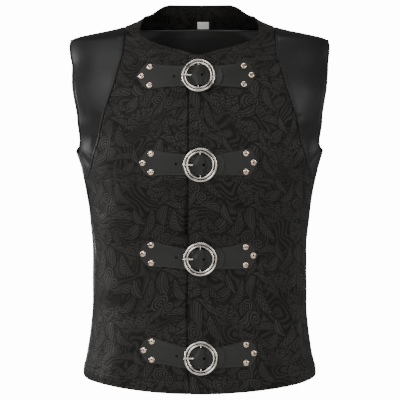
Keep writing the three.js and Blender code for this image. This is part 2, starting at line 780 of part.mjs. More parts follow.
// The shaft's round section, swept along its path
function prongShaft(radius) {
  const curve = new THREE.CatmullRomCurve3(PRONG_SHAFT.map(({ x, lift }) => new THREE.Vector3(x, 0, lift)));
  const circle = new THREE.Shape().absarc(0, 0, radius, 0, 2 * Math.PI);
  return new THREE.ExtrudeGeometry(circle, {
    steps: 7,
    extrudePath: curve,
    bevelEnabled: false,
    curveSegments: 3,
  });
}

function prongEye() {
  const outline = new THREE.Shape().absarc(0, 0, PRONG_EYE_RADIUS, 0, 2 * Math.PI);
  outline.holes.push(new THREE.Path().absarc(0, 0, PRONG_EYE_BORE, 0, 2 * Math.PI, true));
  const eye = new THREE.ExtrudeGeometry(outline, {
    depth: 2 * PRONG_EYE_HALF,
    bevelEnabled: false,
    curveSegments: 5,
  });
  eye.translate(0, 0, -PRONG_EYE_HALF);
  eye.rotateX(Math.PI / 2);
  eye.translate(0, 0, BAR_HEIGHT);
  return eye;
}

function frameGeometry() {
  const profile = [
    [FRAME_INNER, 0],
    [FRAME_OUTER, 0],
    [FRAME_OUTER, FRAME_THICK - FRAME_ROUNDING],
    [FRAME_OUTER - FRAME_ROUNDING, FRAME_THICK],
    [FRAME_STEP + FRAME_ROUNDING, FRAME_THICK],
    [FRAME_STEP, FRAME_STEP_THICK],
    [FRAME_INNER, FRAME_STEP_THICK - FRAME_INNER_FALL],
    [FRAME_INNER, 0],
  ].map(([radius, height]) => new THREE.Vector2(radius, height));
  const ring = new THREE.LatheGeometry(profile, FRAME_SEGMENTS);
  ring.rotateX(Math.PI / 2);
  const flip = new THREE.Matrix4().makeRotationY(-Math.atan(FRAME_TILT));
  const seat = new THREE.Matrix4().makeTranslation(0, 0, FRAME_UNDERSIDE).multiply(flip);
  const bar = new THREE.CylinderGeometry(BAR_RADIUS, BAR_RADIUS, 2 * (FRAME_INNER + BAR_ROOT), 12);
  bar.translate(0, 0, BAR_HEIGHT);
  return geometryOf(solidOf(ring, seat).add(solidOf(bar)));
}

function rivetGeometry() {
  const profile = [
    [0, 0],
    [RIVET_RADIUS, 0],
    [RIVET_RADIUS, RIVET_RIM],
    [RIVET_RADIUS * RIVET_CROWN, RIVET_HEIGHT],
    [0, RIVET_HEIGHT - RIVET_DIMPLE],
  ].map(([radius, height]) => new THREE.Vector2(radius, height));
  return new THREE.LatheGeometry(profile, RIVET_SEGMENTS).rotateX(Math.PI / 2);
}

function addRivets(set, rivets, stem, strapThick) {
  for (const rivet of rivets) {
    const x = set.x + rivet.x;
    const z = strapCentre(set)(rivet.x) + rivet.z;
    const place = hardwarePlace(x, z);
    const cap = addMesh(`${stem}_rivet_${set.name}_${rivet.name}`, rivetGeometry(), "metal", place);
    cap.position.z = (rivet.x < 0 ? 0 : frontFace(x)) + STRAP_SEAT + strapThick + RIVET_SEAT;
  }
}

function addStrapSet(set) {
  const place = hardwarePlace(set.x, set.z);
  const centre = strapCentre(set);
  const matrix = place.matrixWorld;

  let billet = solidOf(ribbon(billetPath(), STRAP, centre, set.x));
  for (const x of BILLET_HOLES) {
    const punch = new THREE.CylinderGeometry(HOLE_RADIUS, HOLE_RADIUS, PUNCH.length, 8).rotateX(Math.PI / 2);
    const drift = centre(x) - set.z;
    billet = billet.subtract(solidOf(punch.translate(x, drift, PUNCH.lift), matrix));
  }
  billet = billet.subtract(solidOf(prongShaft(PRONG_RADIUS + PRONG_CLEARANCE), matrix));
  addMesh(`billet_strap_${set.name}`, geometryOf(billet), "strap");

  const slot = new THREE.BoxGeometry(PRONG_SLOT.along, PRONG_SLOT.across, PRONG_SLOT.through);
  slot.translate(0, 0, BAR_HEIGHT);
  const strap = solidOf(ribbon(buckleStrapPath(set), BUCKLE_STRAP, centre, set.x));
  addMesh(`buckle_strap_${set.name}`, geometryOf(strap.subtract(solidOf(slot, matrix))), "strap");

  addMesh(`buckle_frame_${set.name}`, frameGeometry(), "metal", place);
  const prong = solidOf(prongEye()).add(solidOf(prongShaft(PRONG_RADIUS)));
  addMesh(`prong_${set.name}`, geometryOf(prong), "metal", place);

  addRivets(set, BILLET_RIVETS, "billet", STRAP);
  addRivets(set, BUCKLE_STRAP_RIVETS, "buckle", BUCKLE_STRAP);
}

for (const set of STRAP_SETS) addStrapSet(set);

export default vest;
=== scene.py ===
"""Looks of a sleeveless medieval vest: black tone-on-tone brocade with leather shoulder yokes, closed by four
riveted straps with round nickel buckles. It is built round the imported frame, in the same place and size.

Form functions work in millimetres and give points in the frame's own axes: +X is the wearer's left, -Y the
front and +Z up, with the origin in the middle of the neck base.
"""

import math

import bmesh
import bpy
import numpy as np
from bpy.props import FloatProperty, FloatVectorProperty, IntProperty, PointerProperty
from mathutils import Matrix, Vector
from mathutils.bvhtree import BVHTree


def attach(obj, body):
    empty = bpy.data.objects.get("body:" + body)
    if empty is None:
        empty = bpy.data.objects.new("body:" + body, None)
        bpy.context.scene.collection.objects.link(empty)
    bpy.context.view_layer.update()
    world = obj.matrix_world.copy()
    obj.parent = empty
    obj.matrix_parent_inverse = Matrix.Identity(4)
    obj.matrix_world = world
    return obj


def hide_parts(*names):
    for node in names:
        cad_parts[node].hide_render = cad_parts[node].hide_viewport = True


bl_info = {
    "name": "Medieval vest",
    "version": (1, 0, 0),
    "blender": (4, 5, 0),
    "location": "View3D > Sidebar > Vest",
    "description": "Builds a brocade and leather vest with buckled straps, and the studio round it",
    "category": "Add Mesh",
}

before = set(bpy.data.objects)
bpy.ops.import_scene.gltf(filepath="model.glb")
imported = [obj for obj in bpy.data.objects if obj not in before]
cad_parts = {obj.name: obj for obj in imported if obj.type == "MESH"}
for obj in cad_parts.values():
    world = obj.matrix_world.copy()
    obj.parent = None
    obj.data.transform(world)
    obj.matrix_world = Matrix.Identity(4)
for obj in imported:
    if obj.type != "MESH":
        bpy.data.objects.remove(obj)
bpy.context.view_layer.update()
MM = 0.001
DEGREE = math.pi / 180

# Level sections of the hollow form, from the back neck down to the hem:
# height, half width, depth in front, depth behind, squareness
SECTIONS = [
    (24, 84, 36, 62, 2.1),
    (0, 95, 38, 68, 2.15),
    (-19, 132, 58, 80, 2.2),
    (-44, 226, 73, 92, 2.25),
    (-80, 233, 88, 104, 2.3),
    (-133, 247, 104, 114, 2.3),
    (-181, 238, 113, 118, 2.3),
    (-223, 220, 118, 118, 2.3),
    (-240, 217, 119, 117, 2.3),
    (-270, 208, 119, 115, 2.3),
    (-349, 194, 114, 106, 2.3),
    (-413, 190, 109, 99, 2.3),
    (-504, 190, 112, 101, 2.3),
    (-550, 194, 116, 106, 2.3),
    (-590, 200, 120, 111, 2.3),
    (-624, 207, 123, 115, 2.3),
    (-660, 209, 124, 117, 2.3),
]

# Cut edges seen from the front: height, half width
NECK_BOTTOM = -71
BACK_NECK_TOP = 22
LEATHER_TIP = -285
NECKLINE = [
    (0, 95), (-8, 99), (-18, 102), (-28, 102), (-37, 97), (-44, 88), (-50, 74), (-55, 57), (-60, 38),
    (-66, 16), (-70, 1), (NECK_BOTTOM, -19),
]
OVERLAP_EDGE = [
    (NECK_BOTTOM, -18.4), (-142, -18), (-224, -18), (-350, -18.6), (-449, -19.4), (-522, -20), (-660, -15),
]
BACK_NECK_CORNER = 54
BACK_NECK = [(0, 95), (5, 84), (12, 75), (18, 66), (BACK_NECK_TOP, BACK_NECK_CORNER)]
LEATHER_SEAM = [
    (-19, 132), (-35, 130.5), (-68, 132.5), (-92, 139), (-118, 146), (-148, 156.5), (-190, 169),
    (-214, 175), (-248, 184), (-266, 189.5), (-278, 195), (LEATHER_TIP, 199.6),
]
SEAM_TOP = -19

# Armholes and hem: levels, depths and the fullness of their curves
SHOULDER_TIP = -44
ARMHOLE_BOTTOM = -240
ARMHOLE_FRONT = 42
ARMHOLE_BACK = 62
ARMHOLE_SEAM_Y = -33
ARMHOLE_LEVEL_FROM = 0.95
FRONT_BOW_SKEW = 1.1
FRONT_BOW_FULLNESS = 0.8
BACK_BOW_SKEW = 0.95
BACK_BOW_FULLNESS = 0.45
BACK_SWEEP_START = -248
BACK_SWEEP_POWER = 1.25
FACING_EDGE = -18
SIDE_HEM = -632
FRONT_HEM_DROP = 16
BACK_HEM_DROP = 6
HEM_CURVE_START = -540
SIDE_SEAM = 15 * DEGREE
GIRTH_PER_DEGREE = 3.05

# How far neighbouring panels reach into each other at a seam and at the shoulder ridge
SEAM_OVERLAP = 0.02
RIDGE_OVERLAP = 0.02

CREASE_TAPER = 0.8

# Soft creases: from an angle and height to an angle and height, half width, rise
CREASES = [
    (152, -486, 120, -530, 19, -4.5),
    (150, -458, 124, -498, 20, 2.8),
    (113, -524, 99, -548, 14, -2.2),
    (56, -470, 66, -500, 13, -2.4),
    (47, -480, 45, -612, 17, -4.5),
    (57, -500, 55, -618, 16, 2.6),
    (32, -505, 33, -625, 17, 3.2),
    (144, -216, 130, -238, 13, -2.4),
    (48, -206, 36, -236, 13, -2.6),
    (150, -278, 134, -322, 15, -2.2),
    (30, -282, 44, -330, 15, -2.0),
    (132, -548, 136, -628, 18, 3.0),
    (8, -380, 22, -430, 17, -2.6),
    (172, -372, 160, -424, 17, -2.4),
    (342, -430, 306, -470, 20, -3.6),
    (196, -424, 232, -468, 20, -3.8),
    (238, -378, 222, -416, 17, 2.4),
    (300, -392, 318, -432, 17, 2.2),
    (250, -500, 244, -626, 20, 4.0),
    (284, -488, 289, -626, 20, -3.4),
    (310, -520, 314, -628, 18, 3.2),
    (222, -530, 220, -628, 17, -3.0),
    (226, -232, 214, -282, 17, -2.0),
    (313, -236, 325, -290, 17, -1.8),
]

# Finer creases of the worn cloth, as above
FINE_CREASES = [
    (158, -240, 149, -262, 6, -1.5),
    (161, -250, 153, -276, 5, 1.1),
    (164, -262, 157, -292, 5, -1.2),
    (22, -236, 31, -262, 6, -1.5),
    (19, -252, 27, -280, 5, 1.0),
    (17, -266, 24, -296, 5, -1.2),
    (128, -196, 116, -220, 7, -1.1),
    (136, -176, 126, -196, 7, -0.9),
    (54, -186, 64, -208, 7, -1.0),
    (45, -172, 52, -192, 6, -0.9),
    (141, -506, 122, -520, 8, 1.2),
    (128, -512, 112, -540, 9, -1.5),
    (148, -470, 138, -486, 8, 1.0),
    (154, -330, 138, -352, 9, -1.3),
    (27, -336, 41, -360, 9, -1.1),
    (39, -520, 38, -604, 8, -1.4),
    (51, -540, 50, -620, 7, 1.1),
    (63, -560, 62, -626, 8, -1.1),
    (120, -590, 123, -636, 8, -1.1),
    (143, -560, 146, -626, 9, -1.3),
    (153, -590, 155, -634, 8, 1.0),
    (100, -460, 108, -486, 7, -0.8),
    (80, -470, 73, -498, 7, -0.8),
    (118, -316, 104, -332, 8, -0.9),
    (64, -318, 76, -336, 8, -0.8),
    (205, -330, 222, -352, 10, -1.5),
    (335, -336, 318, -360, 10, -1.4),
    (262, -420, 244, -446, 10, 1.3),
    (276, -414, 294, -438, 10, -1.4),
    (232, -560, 229, -630, 9, 1.3),
    (260, -540, 262, -630, 10, -1.6),
    (272, -556, 273, -630, 9, 1.1),
    (297, -548, 299, -630, 9, -1.2),
    (327, -560, 330, -630, 9, -1.3),
    (212, -200, 222, -226, 8, -1.0),
    (328, -204, 318, -230, 8, -1.0),
    (240, -120, 262, -136, 12, -1.2),
    (300, -118, 279, -138, 12, -1.1),
    (153, -212, 126, -202, 13, -3.2),
    (27, -214, 54, -204, 13, -2.4),
    (166, -154, 141, -148, 21, 2.6),
    (14, -160, 38, -150, 20, 1.6),
    (170, -96, 150, -86, 16, -1.6),
]

# Strap sets: name, buckle's x, buckle's height, rise of the billet's end, rise of the buckle strap's end
STRAP_SETS = [
    ("1", -2, -107, 0, 2),
    ("2", 1, -256, 3, 4),
    ("3", 1, -417, 8, 5),
    ("4", 2, -586, 12, 7),
]
STRAP_HALF = 17.5
STRAP_LEVEL_TO = 18
STRAP_BEND_REACH = 70
STRAP_THICK = 1.6
BUCKLE_STRAP_THICK = 1.4
BUCKLE_STRAP_THINNER = 0.2
STRAP_SEAT = 0.65

# The calm cloth under each strap set: its half length, half height and rise from the buckle, and the
# distances from it at which the drape starts and is full
SHELTER_HALF_LENGTH = 98
SHELTER_HALF_HEIGHT = 30
SHELTER_RISE = 3
SHELTER_FADE = (2, 34)

# Half width of the riveted straps, by distance from the buckle
BILLET_OUTLINE = [
    (-107, 0), (-87, 22.5), (-84, 22.8), (-60, 19.6), (-30, 18), (-20, STRAP_HALF), (30, STRAP_HALF),
    (35, 15.6), (39, 10.5), (41.5, 0),
]
BUCKLE_STRAP_OUTLINE = [
    (-6, 16), (12, 16.5), (22, 18), (36, 18.5), (60, 20.5), (80, 23), (83, 22.6), (99, 0),
]

# Height of the billet's middle layer over the cloth: distance, at its edges, in its middle
BILLET_HEIGHT = [
    (-107, 1.35, 1.35), (-32, 1.35, 1.35), (-27, 1.8, 1.8), (-22, 2.9, 2.9), (-19, 3.1, 3.1), (-17, 3.1, 3.9),
    (-14, 3.2, 7.2), (-11, 3.8, 10.2), (-8, 6.6, 11.4), (-5, 9.4, 11.7), (-2.5, 10.9, 11.7), (0, 11.4, 11.6),
    (2.5, 11.1, 11.3), (5.5, 9.3, 10.4), (9, 6.1, 8.3), (12, 4.65, 6.2), (16, 4.6, 4.6), (20, 4.6, 4.6),
    (30, 4.6, 4.6), (36, 5.1, 5.3), (42, 6.4, 6.8),
]
BILLET_HOLES = (-41, 6)
HOLE_RADIUS = 2.1
BUCKLE_STRAP_CLIMB = [(11, 3.0), (8.5, 4.3), (6, 6.4), (3.8, 8.3)]
WRAP_FROM, WRAP_STEP, WRAP_STEPS = 65, 32, 8

# Buckle
FRAME_OUTER = 29
FRAME_INNER = 20.5
FRAME_THICK = 3.4
FRAME_STEP_THICK = 2.2
FRAME_UNDERSIDE = 5.95
FRAME_TILT = 0.05
BAR_RADIUS = 1.5
BAR_HEIGHT = 6.9
BAR_ROOT = 1.2
LOOP_RADIUS = BAR_RADIUS + 0.5 + BUCKLE_STRAP_THICK / 2
PRONG_RADIUS = 1.5
PRONG_EYE_HALF = 2.4
PRONG_EYE_RADIUS = 3.2
PRONG_EYE_BORE = 1.9
PRONG_CLEARANCE = 0.5
PRONG_SLOT = (14, 6.4, 16)

# The prong's path: distance, height
PRONG_PATH = [(-2.2, 8.1), (-6, 8.4), (-10, 8.6), (-14, 9.0), (-18, 9.55), (-24, 9.7), (-29.5, 9.5)]

# Rivets: name, distance from the buckle, height from the strap's middle line
RIVET_RADIUS = 5.2
RIVET_HEIGHT = 2.4
RIVET_SEAT = 0.6
BILLET_RIVETS = [("upper", -83, 15.5), ("tip", -97, 0), ("lower", -83, -15.5)]
BUCKLE_STRAP_RIVETS = [("upper", 77, 15.5), ("tip", 90, 0), ("lower", 77, -15.5)]

# Blank label: its two sides, its top and its fold
LABEL_FROM_X, LABEL_TO_X, LABEL_TOP, LABEL_BOTTOM = -4, 17, -5, -17


# Curves and the smooth form


def column_curve(rows, column):
    """A smooth curve through one column of a table, by its first column, with no overshoot between rows."""
    table = np.array(sorted(rows, key=lambda row: row[0]), float)
    at, value = table[:, 0], table[:, column]
    slope = np.diff(value) / np.diff(at)
    tangent = np.empty_like(value)
    tangent[0], tangent[-1] = slope[0], slope[-1]
    before, after = slope[:-1], slope[1:]
    same_way = before * after > 0
    tangent[1:-1] = np.where(same_way, 2 * before * after / np.where(same_way, before + after, 1), 0)

    def curve(x):
        """The curve's value at x, held level past both ends."""
        x = np.clip(x, at[0], at[-1])
        i = np.clip(np.searchsorted(at, x, side="right") - 1, 0, len(at) - 2)
        span = at[i + 1] - at[i]
        t = (x - at[i]) / span
        rise = 3 * t**2 - 2 * t**3
        leaving = (t - 2 * t**2 + t**3) * span * tangent[i]
        arriving = (t**3 - t**2) * span * tangent[i + 1]
        return value[i] + (value[i + 1] - value[i]) * rise + leaving + arriving

    return curve


half_width = column_curve(SECTIONS, 1)
front_depth = column_curve(SECTIONS, 2)
back_depth = column_curve(SECTIONS, 3)
squareness = column_curve(SECTIONS, 4)
neckline_x = column_curve(NECKLINE, 1)
overlap_x = column_curve(OVERLAP_EDGE, 1)
back_neck_x = column_curve(BACK_NECK, 1)
leather_seam_x = column_curve(LEATHER_SEAM, 1)
billet_half = column_curve(BILLET_OUTLINE, 1)
buckle_strap_half = column_curve(BUCKLE_STRAP_OUTLINE, 1)
billet_edge = column_curve(BILLET_HEIGHT, 1)
billet_middle = column_curve(BILLET_HEIGHT, 2)


def smoothstep(x, start, end):
    """0 before start, 1 after end, with a soft rise between them."""
    t = np.clip((x - start) / (end - start), 0, 1)
    return t * t * (3 - 2 * t)


def unit(vectors):
    """The vectors at length 1."""
    return vectors / np.maximum(np.linalg.norm(vectors, axis=-1, keepdims=True), 1e-9)


def hem_drop(angle, z):
    """How far the hem line is lowered at an angle, growing from nothing where the hem's curve starts."""
    reach = np.maximum(0, (HEM_CURVE_START - z) / (HEM_CURVE_START - SIDE_HEM))
    across = np.sin(angle)
    return np.where(across > 0, FRONT_HEM_DROP, BACK_HEM_DROP) * across**2 * reach


def form_point(angle, z):
    """A point of the smooth form at an angle round the body and a height."""
    angle, z = np.broadcast_arrays(np.asarray(angle, float), np.asarray(z, float))
    across, deep = np.cos(angle), np.sin(angle)
    power = squareness(z)
    reach = (np.abs(across) ** power + np.abs(deep) ** power) ** (-1 / power)
    depth = np.where(deep > 0, front_depth(z), back_depth(z))
    return np.stack([half_width(z) * reach * across, -depth * reach * deep, z - hem_drop(angle, z)], axis=-1)


def form_normal(angle, z):
    """The outward normal of the smooth form."""
    turn, step = 0.004, 1.5
    along = form_point(angle + turn, z) - form_point(angle - turn, z)
    down = form_point(angle, z - step) - form_point(angle, z + step)
    return unit(np.cross(along, down))


def crease_rise(angle, z, rows):
    """The rise of the creases of a table out of the smooth form."""
    degrees = np.mod(angle / DEGREE, 360)
    total = np.zeros(np.broadcast(angle, z).shape)
    for start, start_z, end, end_z, width, rise in rows:
        run_a, run_z = (end - start) * GIRTH_PER_DEGREE, end_z - start_z
        turn = np.mod(degrees - start + 540, 360) - 180
        off_a, off_z = turn * GIRTH_PER_DEGREE, z - start_z
        length = math.hypot(run_a, run_z)
        t = np.clip((off_a * run_a + off_z * run_z) / length**2, 0, 1)
        aside = (off_a * run_z - off_z * run_a) / length
        total += rise * np.sin(math.pi * t) ** CREASE_TAPER * np.exp(-((aside / width) ** 2))
    return total


def strap_shelter(x, z):
    """0 under the straps and buckles, where the cloth lies as the frame has it, and 1 away from them."""
    shelter = np.ones(np.broadcast(x, z).shape)
    for _, buckle_x, buckle_z, _, _ in STRAP_SETS:
        aside = np.maximum(np.abs(x - buckle_x) - SHELTER_HALF_LENGTH, 0)
        above = np.maximum(np.abs(z - buckle_z - SHELTER_RISE) - SHELTER_HALF_HEIGHT, 0)
        shelter *= smoothstep(np.hypot(aside, above), *SHELTER_FADE)
    return shelter


def drape(angle, z):
    """The rise of the worn cloth's finer creases and its slow, uneven waves."""
    place = form_point(angle, z)
    around = angle / DEGREE * GIRTH_PER_DEGREE
    wave = 0.9 * np.sin(around / 31 + 1.3 * np.sin(z / 57)) * np.sin(z / 74 + 0.7 * np.sin(around / 49))
    wave += 0.45 * np.sin(around / 13.5 + 1.9 * np.sin(z / 38)) * np.sin(z / 29 + around / 61)
    on_front = np.where(np.sin(angle) > 0, strap_shelter(place[..., 0], place[..., 2]), 1)
    calm = smoothstep(-z, 20, 110)
    return (wave * calm + crease_rise(angle, z, FINE_CREASES)) * on_front


def cloth_rise(angle, z, draped=True):
    """All that raises the cloth out of the smooth form."""
    return crease_rise(angle, z, CREASES) + (drape(angle, z) if draped else 0)


def cloth_point(angle, z, lift, draped=True):
    """A point of the cloth, lifted off its outer face."""
    off = lift + cloth_rise(angle, z, draped)
    return form_point(angle, z) + form_normal(angle, z) * np.asarray(off)[..., None]


def angle_at_x(x, z):
    """The angle at which the front has a distance x from the centre line."""
    share = np.clip(np.abs(x) / half_width(z), 1e-6, 1)
    power = squareness(z)
    angle = np.arctan(np.maximum(share**-power - 1, 0) ** (1 / power))
    return np.where(np.asarray(x) >= 0, angle, math.pi - angle)


def angle_at_y(y, z):
    """The angle at which the form stands a distance y forward of the side line, or behind it."""
    depth = np.where(y < 0, front_depth(z), back_depth(z))
    share = np.minimum(np.abs(y) / depth, 0.999)
    power = squareness(z)
    angle = np.arctan((share**power / (1 - share**power)) ** (1 / power))
    return np.where(y < 0, angle, -angle)


def armhole_share(z):
    """The share of the armhole's height that lies above a level."""
    return np.clip((SHOULDER_TIP - z) / (SHOULDER_TIP - ARMHOLE_BOTTOM), 0, 1)


def front_armhole_edge(z):
    """The outer boundary of the wearer's left front, as an angle."""
    t = armhole_share(z)
    bow = np.sin(math.pi * t**FRONT_BOW_SKEW) ** FRONT_BOW_FULLNESS
    bowed = angle_at_y(ARMHOLE_SEAM_Y * t - ARMHOLE_FRONT * bow, z)
    return np.where(z >= SHOULDER_TIP, 0, np.where(z <= ARMHOLE_BOTTOM, SIDE_SEAM, bowed))


def back_armhole_edge(z):
    """The outer boundary of the back at the wearer's left."""
    t = armhole_share(z)
    bow = np.maximum(np.sin(math.pi * t**BACK_BOW_SKEW), 0) ** BACK_BOW_FULLNESS
    bowed = angle_at_y(ARMHOLE_BACK * bow + ARMHOLE_SEAM_Y * smoothstep(t, ARMHOLE_LEVEL_FROM, 1), z)
    return np.where(z >= SHOULDER_TIP, 0, np.where(z <= ARMHOLE_BOTTOM, SIDE_SEAM, bowed))


def front_leather_edge(z):
    """The seam between the front's leather and brocade."""
    seam = np.maximum(angle_at_x(leather_seam_x(z), z), np.where(z < ARMHOLE_BOTTOM, SIDE_SEAM, 0))
    return np.where(z >= SEAM_TOP, 0, np.where(z <= LEATHER_TIP, SIDE_SEAM, seam))


def back_leather_edge(z):
    """The seam between the back's leather and brocade, which sweeps round the side from the leather's tip."""
    level = np.maximum(z, BACK_SWEEP_START)
    climbed = -angle_at_x(leather_seam_x(level), level)
    t = np.clip((z - LEATHER_TIP) / (BACK_SWEEP_START - LEATHER_TIP), 0, 1)
    swept = SIDE_SEAM + (climbed - SIDE_SEAM) * t**BACK_SWEEP_POWER
    return np.where(z >= SEAM_TOP, 0, np.where(z <= LEATHER_TIP, SIDE_SEAM, swept))


def front_inner_edge(z):
    """The neckline and, below it, the front edge."""
    return angle_at_x(np.where(z > NECK_BOTTOM, neckline_x(z), overlap_x(z)), z)


def back_outer_edge(z):
    """The back's boundary at the wearer's left, from the back neck down to the hem."""
    return np.where(z > 0, -angle_at_x(back_neck_x(z), z), back_leather_edge(z))


def across_back(edge):
    """The same boundary at the wearer's right, going round the back."""
    return lambda z: -math.pi - edge(z)


def ridge_edge(z):
    """The shoulder seam, which lies on the side line."""
    return z * 0


def on_side(angle, side):
    """The angle itself where side is 1, at the wearer's left, and its mirror image where it is -1."""
    return angle if side > 0 else math.pi - angle


OVERLAP_LIFT = 1.5
LIFT_FULL_TO = 26
LIFT_GONE_AT = 74
UPPER_FRONT_FROM = -22.4


def overlap_lift(x):
    """The lift of the upper front over the lower one, by its distance from the centre line."""
    return OVERLAP_LIFT * (1 - smoothstep(x, LIFT_FULL_TO, LIFT_GONE_AT))


def front_place(x, z):
    """The angle and level of the fronts at a true place, which the hem's curve has lowered."""
    angle = angle_at_x(x, z)
    share = FRONT_HEM_DROP * np.sin(angle) ** 2 / (HEM_CURVE_START - SIDE_HEM)
    level = np.where(z < HEM_CURVE_START, (z + share * HEM_CURVE_START) / (1 + share), z)
    return angle_at_x(x, level), level


def front_normal(x, z):
    """The smooth form's outward normal at a true place of the fronts."""
    return form_normal(*front_place(x, z))


def strap_centre(strap_set):
    """The straps' middle line: level at the buckle and lifted towards the riveted ends."""
    _, _, buckle_z, billet_rise, buckle_rise = strap_set

    def centre(x):
        share = smoothstep(np.abs(x), STRAP_LEVEL_TO, STRAP_LEVEL_TO + STRAP_BEND_REACH)
        return buckle_z + np.where(np.asarray(x) < 0, billet_rise, buckle_rise) * share

    return centre


def hardware_matrix(x, z):
    """A buckle's or rivet's place in millimetres: X along the strap, Y up the vest, Z out of the cloth."""
    out = Vector(front_normal(x, z))
    along = (Vector((1, 0, 0)) - out * out.x).normalized()
    up = out.cross(along)
    turned = Matrix((along, up, out)).transposed().to_4x4()
    angle, level = front_place(x, z)
    place = cloth_point(angle, level, 0, draped=False)
    return Matrix.Translation(Vector(place)) @ turned


# Shader expressions


class Wire:
    """One output socket. Its operators add Math nodes, so tone * 0.5 can be written as it is."""

    def __init__(self, tree, socket):
        self.tree = tree
        self.socket = socket

    def math(self, operation, *values, clamp=False):
        """A Math node on this value and the ones given."""
        return self.tree.node("ShaderNodeMath", {"operation": operation, "use_clamp": clamp}, [self, *values])

    def __add__(self, other):
        return self.math("ADD", other)

    def __mul__(self, other):
        return self.math("MULTIPLY", other)

    def __pow__(self, other):
        return self.math("POWER", other)

    def __abs__(self):
        return self.math("ABSOLUTE")

    def times_plus(self, factor, addend, clamp=False):
        """This value times a factor plus an addend, kept from 0 to 1 where clamp is set."""
        return self.math("MULTIPLY_ADD", factor, addend, clamp=clamp)


class Finish:
    """A material being built on one Principled surface."""

    def __init__(self, name, color, roughness, metallic=0.0, sheen=0.0, specular=0.5):
        self.material = bpy.data.materials.new(name)
        self.material.use_nodes = True
        self.material.diffuse_color = (*color, 1)
        self.nodes = self.material.node_tree.nodes
        self.links = self.material.node_tree.links
        self.surface = self.nodes["Principled BSDF"]
        own = {
            "Base Color": (*color, 1),
            "Roughness": roughness,
            "Metallic": metallic,
            "Sheen Weight": sheen,
            "Sheen Roughness": 0.45,
            "Specular IOR Level": specular,
        }
        for socket, value in own.items():
            self.surface.inputs[socket].default_value = value

    def node(self, kind, settings=None, inputs=None, output=0):
        """Adds a node with its settings and inputs, and gives its first output or the one named."""
        made = self.nodes.new(kind)
        for key, value in (settings or {}).items():
            setattr(made, key, value)
        pairs = inputs.items() if isinstance(inputs, dict) else enumerate(inputs or [])
        for socket, value in pairs:
            if isinstance(value, Wire):
                self.links.new(value.socket, made.inputs[socket])
            else:
                made.inputs[socket].default_value = value
        return Wire(self, made.outputs[output])

    def feed(self, socket, wire):
        """Joins a value to one of the surface's inputs."""
        self.links.new(wire.socket, self.surface.inputs[socket])

    def place(self):
        """Places in the piece's own axes, in metres."""
        return self.node("ShaderNodeTexCoord", output="Object")

    def cloth(self):
        """Places on the unrolled cloth, in metres."""
        return self.node("ShaderNodeUVMap", {"uv_map": "cloth"})

    def noise(self, place, scale, detail):
        """Soft noise at a place."""
        return self.node("ShaderNodeTexNoise", inputs={"Vector": place, "Scale": scale, "Detail": detail})

    def stretched(self, place, scale):
        """A place with its axes scaled."""
        return self.node("ShaderNodeVectorMath", {"operation": "MULTIPLY"}, [place, scale])

    def along(self, place, axis):
        """How far a place lies along an axis."""
        return self.node("ShaderNodeVectorMath", {"operation": "DOT_PRODUCT"}, [place, axis], output="Value")

    def blend(self, factor, first, second):
        """A colour between two others."""
        mix = {"Factor": factor, "A": first, "B": second}
        made = self.nodes.new("ShaderNodeMix")
        made.data_type = "RGBA"
        for socket, value in mix.items():
            target = [s for s in made.inputs if s.name == socket and s.enabled][0]
            if isinstance(value, Wire):
                self.links.new(value.socket, target)
            else:
                target.default_value = value
        return Wire(self, [s for s in made.outputs if s.enabled][0])

    def mix_number(self, factor, first, second):
        """A number between two others."""
        ends = {"Factor": factor, "A": first, "B": second}
        return self.node("ShaderNodeMix", {"data_type": "FLOAT"}, ends)

    def tint(self, factor, first, second):
        """Colours the surface between two colours."""
        self.feed("Base Color", self.blend(factor, (*first, 1), (*second, 1)))

    def relief(self, height, distance, strength):
        """Fine relief of the surface."""
        rise = {"Height": height, "Distance": distance, "Strength": strength}
        self.feed("Normal", self.node("ShaderNodeBump", inputs=rise))


def shade(color, share):
    """A colour at a share of its brightness."""
    return tuple(share * part for part in color)


# The brocade's repeat, in millimetres: each column of repeats is half a repeat lower than the one before
REPEAT_WIDTH = 96
REPEAT_HEIGHT = 124

# Fans of leaves: x, y, direction, spread, leaves, half length, half width, bend
FANS = [
    (28, 33, 90, 165, 6, 19, 6.4, 0.016),
    (76, 87, -70, 150, 5, 19, 6.8, -0.017),
]

# Single leaves: x, y, direction, half length, half width, bend, vein slope, swelling
LEAVES = [
    (60, 18, 58, 31, 9.5, -0.015, 0.55, 0.0),
    (12, 84, 118, 33, 10, 0.014, -0.5, 0.0),
    (46, 76, 152, 24, 11.5, 0.019, 0.0, 0.45),
    (86, 43, 100, 26, 12.0, -0.019, 0.0, -0.4),
    (50, 108, 10, 27, 9.0, 0.017, 0.35, 0.0),
    (6, 16, 75, 24, 9.0, -0.018, -0.6, 0.0),
    (64, 55, 32, 21, 8.0, 0.022, 0.3, 0.0),
    (32, 99, 60, 19, 8.5, -0.02, 0.0, 0.3),
    (92, 110, 135, 20, 8.5, 0.021, 0.0, 0.0),
    (24, 58, 20, 18, 7.5, -0.021, 0.4, 0.0),
]

# Scrolls: x, y, radius, turn at the start
SCROLLS = [(42, 52, 12.5, 0.2), (88, 8, 13.5, 0.6), (20, 68, 9.5, 0.0), (72, 118, 10.0, 0.4)]

# The figure's lines: their period in leaves and in scrolls, in millimetres, and their number in the ground
LINE_PERIOD = 3.7
SCROLL_PITCH = 4.6
FLOW_LINES = 108

# Slow sways of the cloth that make the repeats uneven: noise scale, reach in metres
SWAYS = ((10.0, 0.034), (31.0, 0.009))

# The cloth's ribs, in radians a metre along both directions of the cloth
RIBS = (5200, 1800, 0)


